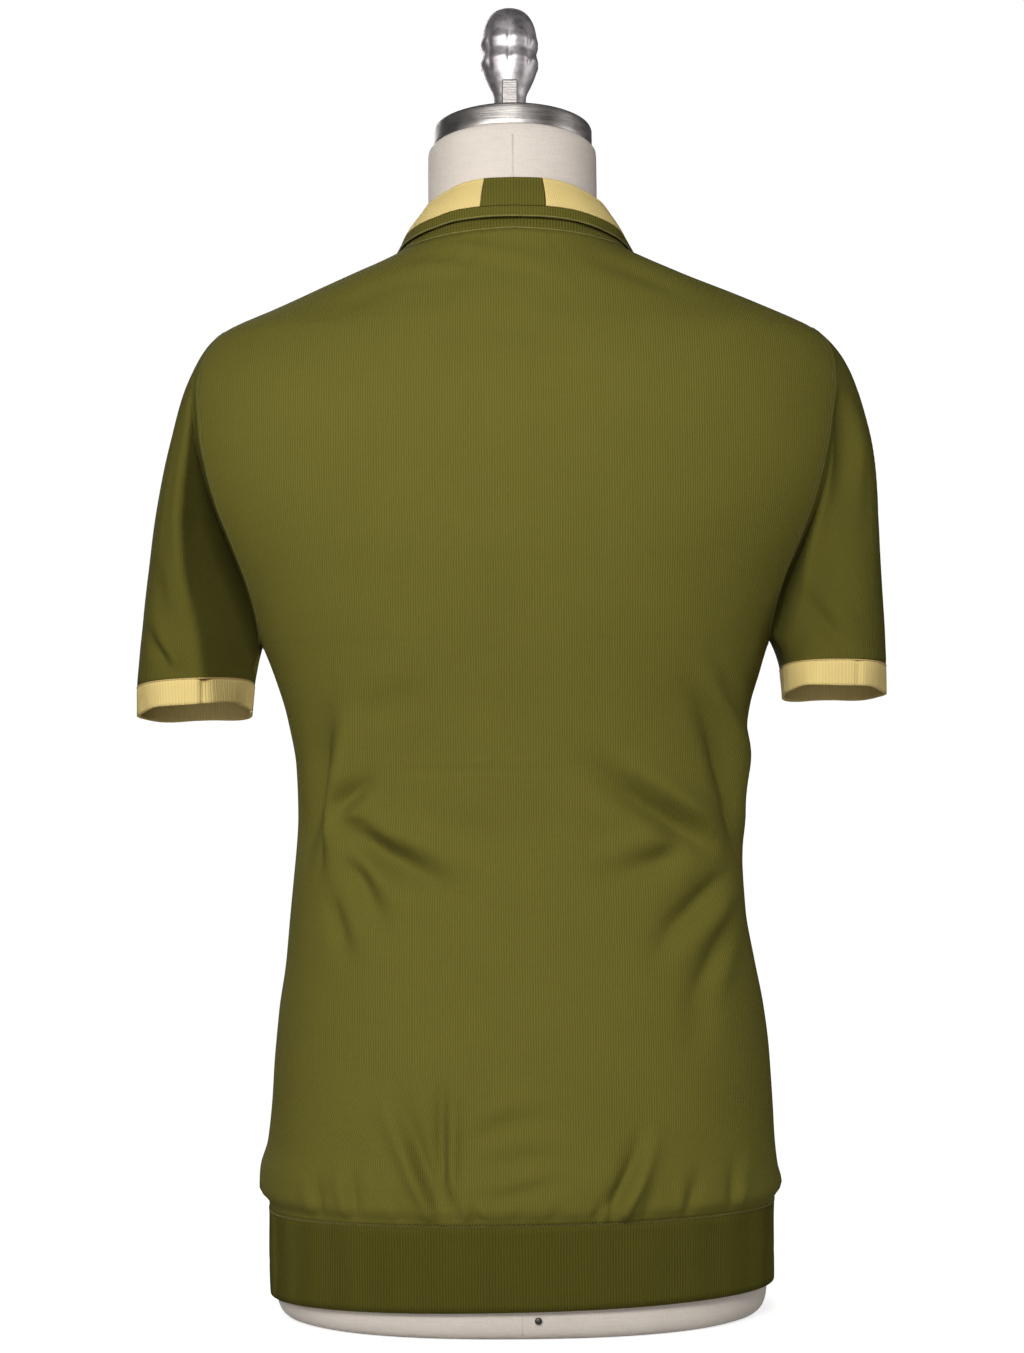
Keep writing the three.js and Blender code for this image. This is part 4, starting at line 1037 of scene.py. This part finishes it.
for label, cuff in CUFFS.items():
    cuff["ridge"] = SLEEVE_RIDGE[label]
    rows, normals = sleeve_sheet(cuff, SLEEVE_SWEEP[label], SLEEVE_COLUMNS, SLEEVE_ROWS)
    if cuff["side"] < 0:
        rows = rows[:, ::-1]
        normals = normals[:, ::-1]
    # The sleeve's seam goes under the arm
    rows = np.roll(rows[::-1], SLEEVE_COLUMNS // 2, axis=1)
    normals = np.roll(normals[::-1], SLEEVE_COLUMNS // 2, axis=1)
    wall("sleeve_" + label, rows, normals, JERSEY, sleeve_knit_painted_shade, closed=True)
    angle = 2 * np.pi * np.arange(560) / 560
    share = np.linspace(0, 1, 10)[:, None]
    uneven = 0.9 * np.sin(2 * angle + 1) + 0.5 * np.sin(5 * angle)
    drop = SEAM + (CUFF_HEIGHT - SEAM) * share + share * uneven
    rows, normals = cuff_ring(cuff, angle[None] + 0 * drop, drop)
    wave = 0.08 * np.cos(140 * angle)[None] - 0.3 * np.exp(-((share / 0.05) ** 2))
    soft = share * (0.9 * np.sin(3 * angle + 2) + 0.5 * np.sin(7 * angle))[None]
    crease_angle, crease_depth = CUFF_CREASE[label]
    soft = soft - crease_depth * np.exp(-(((angle - crease_angle) / 0.07) ** 2))[None]
    rows = rows + normals * (wave + soft)[..., None]
    if cuff["side"] < 0:
        rows = rows[:, ::-1]
        normals = normals[:, ::-1]
    flat = arc_places(rows[::-1], True, straight=True)
    wall("cuff_" + label, rows[::-1], normals[::-1], RIB, yellow_rib, closed=True, flat=flat)


def band_place(turn, rise):
    z = neckline(turn) + rise
    return garment(turn, z), outward(turn, z)


def collar_sheet(angles, part):
    """Rows of the collar over angles from the centre back, below zero to the right: part is "body" for the
    stand, the fold and the fall, or "edging" for the strip along the fall's end."""
    side = np.where(angles < 0, -1, 1)
    degrees = np.abs(angles)
    values = [value(degrees) for value in collar_columns]
    fold = stacked(side * values[0] * np.where(side < 0, COLLAR_LEAN, 1), values[1], values[2])
    lift = 1.6 * np.maximum(0, (degrees - 130) / 40)
    seam_turn = np.where(side > 0, np.radians(90 - degrees), np.pi - np.radians(90 - degrees))
    seam, _ = band_place(seam_turn, NECKBAND_HEIGHT + SEAM + lift)
    edge_turn = np.where(side > 0, np.radians(values[3]), np.pi - np.radians(values[3]))
    edge = garment(edge_turn, values[4]) + outward(edge_turn, values[4]) * values[5][:, None]
    out = unit(stacked(fold[:, 0], fold[:, 1] + 4, 0 * degrees))
    bend = 1.9
    inner = fold - out * bend
    outer = fold + out * bend
    long = np.linalg.norm(edge - outer, axis=1)[:, None]
    ripple = (0.35 * np.sin(angles / 9.0 + 0.6) + 0.2 * np.sin(angles / 4.1))[:, None]

    def fall(t):
        return outer + (edge - outer) * t + out * (2.2 * np.sin(np.pi * t) + ripple * t)

    if part == "edging":
        return np.array([fall(1 - left / long) for left in np.linspace(EDGING, 0, 7)])
    rows = [seam + (inner - seam) * t for t in np.linspace(0, 1, 7)]
    for turn in np.linspace(0, np.pi, 9)[1:-1]:
        rows.append(fold - out * bend * np.cos(turn) + np.array([0, 0, bend * np.sin(turn)]))
    rows += [fall(t * (1 - (EDGING + SEAM) / long)) for t in np.linspace(0, 1, 20)]
    return np.array(rows)


def collar_wall(name, angles, part, material):
    rows = collar_sheet(angles, part)
    return wall(name, rows, sheet_normals(rows, False), COLLAR, material)


band_angles = np.linspace(-COLLAR_END, COLLAR_END, 240)
band_turns = np.radians(90 - band_angles)
band_rises = np.linspace(SEAM / 2, NECKBAND_HEIGHT, 9)
band = [band_place(band_turns, rise) for rise in band_rises]
band_rows = np.array([places for places, _ in band])
band_normals = np.array([normal for _, normal in band])
band_roll = 0.35 * np.sin(np.pi * (band_rises - SEAM / 2) / (NECKBAND_HEIGHT - SEAM / 2) * 2)[:, None, None]
wall("neckband", band_rows + band_normals * band_roll, band_normals, COLLAR, band_knit)
collar_wall("collar_left", np.linspace(STRIPE_HALF + 0.2, COLLAR_END, 150), "body", yellow_knit)
collar_wall("collar_right", np.linspace(-COLLAR_END, -STRIPE_HALF - 0.2, 150), "body", yellow_knit)
collar_wall("collar_stripe", np.linspace(-STRIPE_HALF, STRIPE_HALF, 34), "body", stripe_knit)
collar_wall("collar_edging", np.linspace(-COLLAR_END, COLLAR_END, 330), "edging", stripe_knit)

def placket_strip(name, low, high, start, end, off, material):
    z = np.linspace(start, end, 70)[:, None]
    x = np.linspace(low, high, 15)[None, :]
    turn = front_turn(x + 0 * z, z + 0 * x)
    heights = z + 0 * x
    normals = outward(turn, heights)
    return wall(name, garment(turn, heights) + normals * off, normals, PLACKET_WALL, material)


upper_off = JERSEY / 2 + SEAM + PLACKET_WALL / 2 + 0.3
placket_strip("placket_under", PLACKET_HALF, -PLACKET_HALF, PLACKET_END, PLACKET_TOP, 0, jersey)
placket_strip("placket_upper", PLACKET_HALF + 1, -17.5, PLACKET_END - 2, PLACKET_TOP, upper_off, jersey)

button_profile = [
    (4.6, -1.1), (5.2, -0.9), (5.6, -0.2), (5.6, 0.5), (5.3, 1.05), (4.9, 1.2), (4.4, 1.15), (3.9, 0.8),
    (3.3, 0.7),
    (1.5, 0.68),
]
front_middle = -math.pi / 2
for k, height in enumerate(BUTTON_HEIGHTS):
    normal = outward(np.array(front_middle), np.array(float(height)))
    at = garment(np.array(front_middle), np.array(float(height)))
    at = at + normal * (upper_off + PLACKET_WALL / 2 + SEAM + 1.1)
    points, faces = revolve(button_profile, 40)
    body_piece("button_%d" % (k + 1), placed(points, at, normal), faces, button_plastic)
    threads = []
    for y in (-1.3, 1.3):
        t = np.linspace(-1, 1, 9)
        path = stacked(1.5 * t, y + 0 * t, 0.75 + 0.45 * (1 - t * t))
        threads.append(tube(path, stacked(0 * t, 0 * t, 0 * t + 1), 0.32))
    points, faces = joined(threads)
    body_piece("button_thread_%d" % (k + 1), placed(points, at, normal), faces, thread_green)
    loop_turn = 2 * np.pi * np.arange(49) / 48
    rx = 1.5 * np.sign(np.cos(loop_turn)) * np.abs(np.cos(loop_turn)) ** 0.8
    rz = 8.2 * np.sign(np.sin(loop_turn)) * np.abs(np.sin(loop_turn)) ** 0.8
    turn = front_turn(rx, height + rz)
    normals = outward(turn, height + rz)
    path = garment(turn, height + rz) + normals * (upper_off + PLACKET_WALL / 2 + 0.25)
    points, faces = tube(path, normals, 0.45)
    body_piece("buttonhole_%d" % (k + 1), points, faces, thread_green)

# Stitches that show: the linking along the waistband, the armholes, the neckband and the collar's edge

zig = np.arange(1100)
zig_turn = 2 * np.pi * zig / 1100
zig_z = seam_height(zig_turn) + np.where(zig % 2, 1.0, -0.7)
zig_path = garment(zig_turn, zig_z) + outward(zig_turn, zig_z) * 0.95
points, faces = tube(zig_path, outward(zig_turn, zig_z), 0.3, sides=5)
body_piece("stitch_waistband", points, faces, thread_mid)

for label, cuff in CUFFS.items():
    side = cuff["side"]
    angle = np.linspace(0.02, 2 * np.pi - 0.02, 260)
    lines = []
    for inset, radius in ((-0.6, 0.4), (-3.8, 0.3)):
        turn, z = armhole(angle)
        places = garment(mirrored(turn, side), z)
        normals = outward(mirrored(turn, side), z)
        along = np.gradient(places, axis=0)
        leave = unit(np.cross(along, normals))
        middle = garment(mirrored(0.0, side), 565.0)
        leave = leave * np.where(np.sum(leave * (middle - places), axis=-1) < 0, -1, 1)[:, None]
        path = places + leave * inset + normals * (JERSEY / 2 + 0.02)
        lines.append(tube(path, normals, radius, sides=6, squash=0.6))
    points, faces = joined(lines)
    body_piece("stitch_armhole_" + label, points, faces, thread_green)
    ring, ring_normals = cuff_ring(cuff, 2 * np.pi * np.arange(241) / 240, np.zeros(241))
    points, faces = tube(ring + ring_normals * 0.75, ring_normals, 0.5, squash=0.7)
    body_piece("stitch_cuff_" + label, points, faces, thread_yellow)

line_angles = np.linspace(-COLLAR_END, COLLAR_END, 400)
line_turns = np.radians(90 - line_angles)
places, normals = band_place(line_turns, 0 * line_turns)
points, faces = tube(places + normals * 0.7, normals, 0.55, squash=0.8)
body_piece("stitch_neck", points, faces, thread_mid)
edge_rows = collar_sheet(line_angles, "edging")
edge_normals = sheet_normals(edge_rows, False)
points, faces = tube(edge_rows[-1] + edge_normals[-1] * 0.2, edge_normals[-1], 0.75, squash=1.0)
body_piece("collar_edge_line", points, faces, thread_mid)

# The dress form under the shirt, its centre back seam and its neck

form_heights = np.r_[0, 0.4, 1.5, 3, 5, 8, 11, 16, np.arange(22, 735, 7.5), np.arange(735, 749, 2.5)]
form_turns = 2 * np.pi * np.arange(144) / 144
rings = [form(form_turns, z + 0 * form_turns) for z in form_heights]
neck_centre = -NECK_LEAN * (NECK_TOP - NECK_START)
last_z = form_heights[-1]
for share in np.r_[np.linspace(0.1, 0.97, 14), 0.985, 1]:
    inset = 1.6 * smoothstep((share - 0.96) / 0.04)
    radius = NECK_RADIUS - inset
    slope = radius * np.sin(form_turns)
    z = last_z + (NECK_TOP + NECK_LEAN * slope - last_z) * share
    centre = -NECK_LEAN * (last_z + (NECK_TOP - last_z) * share - NECK_START)
    rings.append(stacked(radius * np.cos(form_turns), centre + slope, z))
points, faces = ring_body(np.array(rings))
body_piece("torso", points, faces, linen)

seam_lines = []
for low, high in ((4, 72), (742, 795)):
    z = np.linspace(low, high, 40)
    if low < 100:
        path = form(np.pi / 2 + 0 * z, z)
    else:
        share = (z - last_z) / (NECK_TOP + NECK_LEAN * NECK_RADIUS - last_z)
        centre = -NECK_LEAN * (last_z + (NECK_TOP - last_z) * share - NECK_START)
        path = stacked(0 * z, centre + NECK_RADIUS, z + 6 * share)
    seam_lines.append(tube(path, np.broadcast_to([0.0, 1.0, 0.0], path.shape), 0.5, squash=0.5))
points, faces = joined(seam_lines)
body_piece("torso_seam", points, faces, linen)

# The metal cap, the knob and its lug

lean = math.atan(NECK_LEAN)
neck_up = np.array([0, -math.sin(lean), math.cos(lean)])
cap_at = np.array([0, neck_centre - 0.1, NECK_TOP + SEAM + 0.1])
cap_profile = [
    (40, 0.05), (54.2, 0.1), (54.9, 0.35), (55.3, 0.9), (55.3, 4), (55.3, 8), (55.3, 11.5), (55.3, 14.2),
    (55.0, 15.0),
    (54.2, 15.5), (52, 15.8), (30, 16.7), (8, 17),
]
points, faces = revolve(cap_profile, 160)
body_piece("neck_cap", placed(points, cap_at, neck_up), faces, cap_metal)

KNOB = [
    [0, 22], [1, 24], [3, 23], [5.5, 14], [9, 11.5], [22, 11.4], [25.5, 12], [31.4, 14.7], [37.2, 17.2],
    [43, 19.3], [47, 20.6], [50.5, 19.9], [54.8, 19.1], [58.5, 19.9], [61.5, 20.6], [66.4, 19.6],
    [72.2, 18.6], [78.1, 16.7],
    [83.9, 12.9], [86.8, 8.3], [87.8, 2],
]
knob_radius = column(KNOB, 1)


def lobes(turns, height):
    """Eight soft lobes round the knob's two swellings, with narrow grooves between them."""
    groove = np.exp(-((np.sin(4 * (turns - np.pi / 2)) / 0.42) ** 2)) * (np.cos(4 * (turns - np.pi / 2)) ** 2)
    swell = 0.0
    for centre, width, deep in ((48, 6.5, 0.075), (61.5, 4.5, 0.06), (72, 5, 0.03)):
        swell += deep * np.exp(-(((height - centre) / width) ** 2))
    return 1 - swell * groove


knob_heights = np.r_[np.linspace(0, 9, 14), np.linspace(10, 84, 90), np.linspace(84.5, 87.8, 12)]
knob_at = cap_at + neck_up * (17 + SEAM) + np.array([1.4, 0, 0])
knob_at[0] = 1.4
points, faces = revolve([(float(knob_radius(h)), float(h)) for h in knob_heights], 96, lobes)
body_piece("knob", placed(points, knob_at, neck_up), faces, knob_metal)

lug_outline = np.array([[-1, -1], [1, -1], [1, 1], [-1, 1]], float)
lug_rings = []
for height, grow in ((3, 1), (30.4, 1), (31.3, 0.93), (31.6, 0.8)):
    ring = []
    for k in range(4):
        for bevel in (-0.12, 0.12):
            a = lug_outline[k]
            b = lug_outline[(k + 1) % 4] if bevel > 0 else lug_outline[k - 1]
            ring.append(a + (b - a) * abs(bevel) * 0.5)
    ring = np.array(ring) * grow
    lug_rings.append(stacked(5.3 * ring[:, 0], 9.6 + 5.6 * ring[:, 1], height + 0 * ring[:, 0]))
points, faces = ring_body(np.array(lug_rings))
body_piece("knob_lug", placed(points, knob_at, neck_up), faces, cap_metal, smooth=False)

nail_profile = [(1.9, 0), (2.2, 0.1), (2.4, 0.5), (2.2, 0.9), (1.6, 1.3), (0.8, 1.5), (0.3, 1.55)]
nail_at = form(np.array(math.radians(92.4)), np.array(13.7)) + np.array([0, SEAM + 0.1, 0])
points, faces = revolve(nail_profile, 24)
body_piece("nail", placed(points, nail_at, (0, 1, 0)), faces, nail_metal)

# What each piece stands for and the name of its finish; the part it stands for is hidden

REPLACES = {
    "back": ("back_panel", "green_jersey"),
    "front": ("front_panel", "green_jersey"),
    "waistband": ("waist_rib", "green_rib"),
    "sleeve_left": ("sleeve_left", "green_jersey"),
    "sleeve_right": ("sleeve_right", "green_jersey"),
    "cuff_left": ("cuff_left", "yellow_rib"),
    "cuff_right": ("cuff_right", "yellow_rib"),
    "neckband": ("neckband", "green_rib"),
    "collar_left": ("collar_left", "yellow_collar"),
    "collar_right": ("collar_right", "yellow_collar"),
    "collar_stripe": ("collar_stripe", "green_collar"),
    "collar_edging": ("collar_edging", "green_collar"),
    "placket_under": ("placket_under", "green_jersey"),
    "placket_upper": ("placket_upper", "green_jersey"),
    "button_1": ("button_1", "button"),
    "button_2": ("button_2", "button"),
    "button_3": ("button_3", "button"),
    "torso": ("form_torso", "linen"),
    "neck_cap": ("form_neck_cap", "cap_metal"),
    "knob": ("form_finial", "knob_metal"),
    "nail": ("form_screw", "nail_metal"),
}
for name, piece in pieces.items():
    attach(piece, "root")
    if name in REPLACES:
        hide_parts(REPLACES[name][0])


def cut(piece):
    """Widest, longest and area of a wall's middle sheet, in metres."""
    mesh = piece.data
    layer = mesh.uv_layers["flat"]
    flat = np.zeros(2 * len(layer.data), np.float32)
    layer.data.foreach_get("uv", flat)
    flat = flat.reshape(-1, 2) * 0.001
    area = sum(face.area for face in mesh.polygons if face.use_smooth) / 2
    size = flat.max(axis=0) - flat.min(axis=0)
    return float(size[0]), float(size[1]), float(area)


SHEETS = {
    "back": ("draped", ["torso"], ["stitch_armhole_left", "stitch_armhole_right"]),
    "front": ("draped", ["torso"], []),
    "waistband": ("stretched", ["torso"], ["stitch_waistband"]),
    "sleeve_left": ("hung", ["back", "front"], []),
    "sleeve_right": ("hung", ["back", "front"], []),
    "cuff_left": ("hung", ["sleeve_left"], ["stitch_cuff_left"]),
    "cuff_right": ("hung", ["sleeve_right"], ["stitch_cuff_right"]),
    "neckband": ("stretched", ["torso"], ["stitch_neck"]),
    "collar_left": ("folded", ["neckband"], []),
    "collar_right": ("folded", ["neckband"], []),
    "collar_stripe": ("folded", ["neckband"], []),
    "collar_edging": ("folded", ["neckband"], ["collar_edge_line"]),
    "placket_under": ("laid", ["torso"], []),
    "placket_upper": ("laid", ["placket_under"], ["buttonhole_1", "buttonhole_2", "buttonhole_3"]),
}
for name, (held, rests, extras) in SHEETS.items():
    width, length, area = cut(pieces[name])
    length = max(length, 0.0101)
    area = min(area, width * length)

# Floor, world and lights


def area_light(name, at, target, size, watts, colour=(1, 1, 1)):
    data = bpy.data.lights.new(name, "AREA")
    data.shape = "RECTANGLE"
    data.size, data.size_y = size
    data.energy = watts
    data.color = colour
    light = bpy.data.objects.new(name, data)
    bpy.context.scene.collection.objects.link(light)
    light.location = at
    light.rotation_mode = "QUATERNION"
    light.rotation_quaternion = (Vector(target) - Vector(at)).to_track_quat("-Z", "Y")


area_light("key_high", (0.1, 1.5, 1.12), (0, 0, 0.45), (0.6, 0.5), 16)
area_light("key_left", (0.9, 1.5, 0.95), (0, 0, 0.45), (0.5, 0.6), 11.5)
area_light("side_right", (-2.3, 0.3, 0.9), (0, 0, 0.45), (0.8, 1.2), 10)
area_light("low_front", (0.25, 2.5, 0.2), (0, 0, 0.45), (1.0, 1.0), 9.6)
area_light("far_side", (0.6, -2.2, 1.2), (0, 0, 0.5), (1.6, 1.6), 40)

world = bpy.data.worlds.new("studio")
bpy.context.scene.world = world
world.use_nodes = True
tree = world.node_tree
background = tree.nodes["Background"]
background.inputs["Color"].default_value = (1, 1, 1, 1)
rays = tree.nodes.new("ShaderNodeLightPath")
strength = tree.nodes.new("ShaderNodeMath")
strength.operation = "MULTIPLY_ADD"
tree.links.new(rays.outputs["Is Camera Ray"], strength.inputs[0])
strength.inputs[1].default_value = 0.97
strength.inputs[2].default_value = 0.05
tree.links.new(strength.outputs[0], background.inputs["Strength"])

floor_material, tree, shader = new_material("floor_paper", Roughness=0.95)
n = Nodes(tree)
paper = n.noise(n.add("ShaderNodeTexCoord").outputs["Object"], 40, 3)
n.join(n.ramp(paper, [(0.3, (0.52, 0.52, 0.52)), (0.7, (0.56, 0.56, 0.56))]), shader.inputs["Base Color"])
shader.inputs["Emission Color"].default_value = (1, 1, 1, 1)
rays = n.add("ShaderNodeLightPath").outputs["Is Camera Ray"]
n.join(n.math("MULTIPLY", rays, 0.76), shader.inputs["Emission Strength"])
floor_mesh = bpy.data.meshes.new("floor")
floor_turns = 2 * np.pi * np.arange(64) / 64
floor_points = stacked(0.62 * np.cos(floor_turns), 0.62 * np.sin(floor_turns), 0 * floor_turns - 0.0002)
floor_mesh.from_pydata(floor_points.tolist(), [], [list(range(64))])
floor_mesh.materials.append(floor_material)
floor = bpy.data.objects.new("floor", floor_mesh)
bpy.context.scene.collection.objects.link(floor)
floor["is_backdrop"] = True

bpy.context.scene.view_settings.view_transform = "Standard"

low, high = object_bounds()
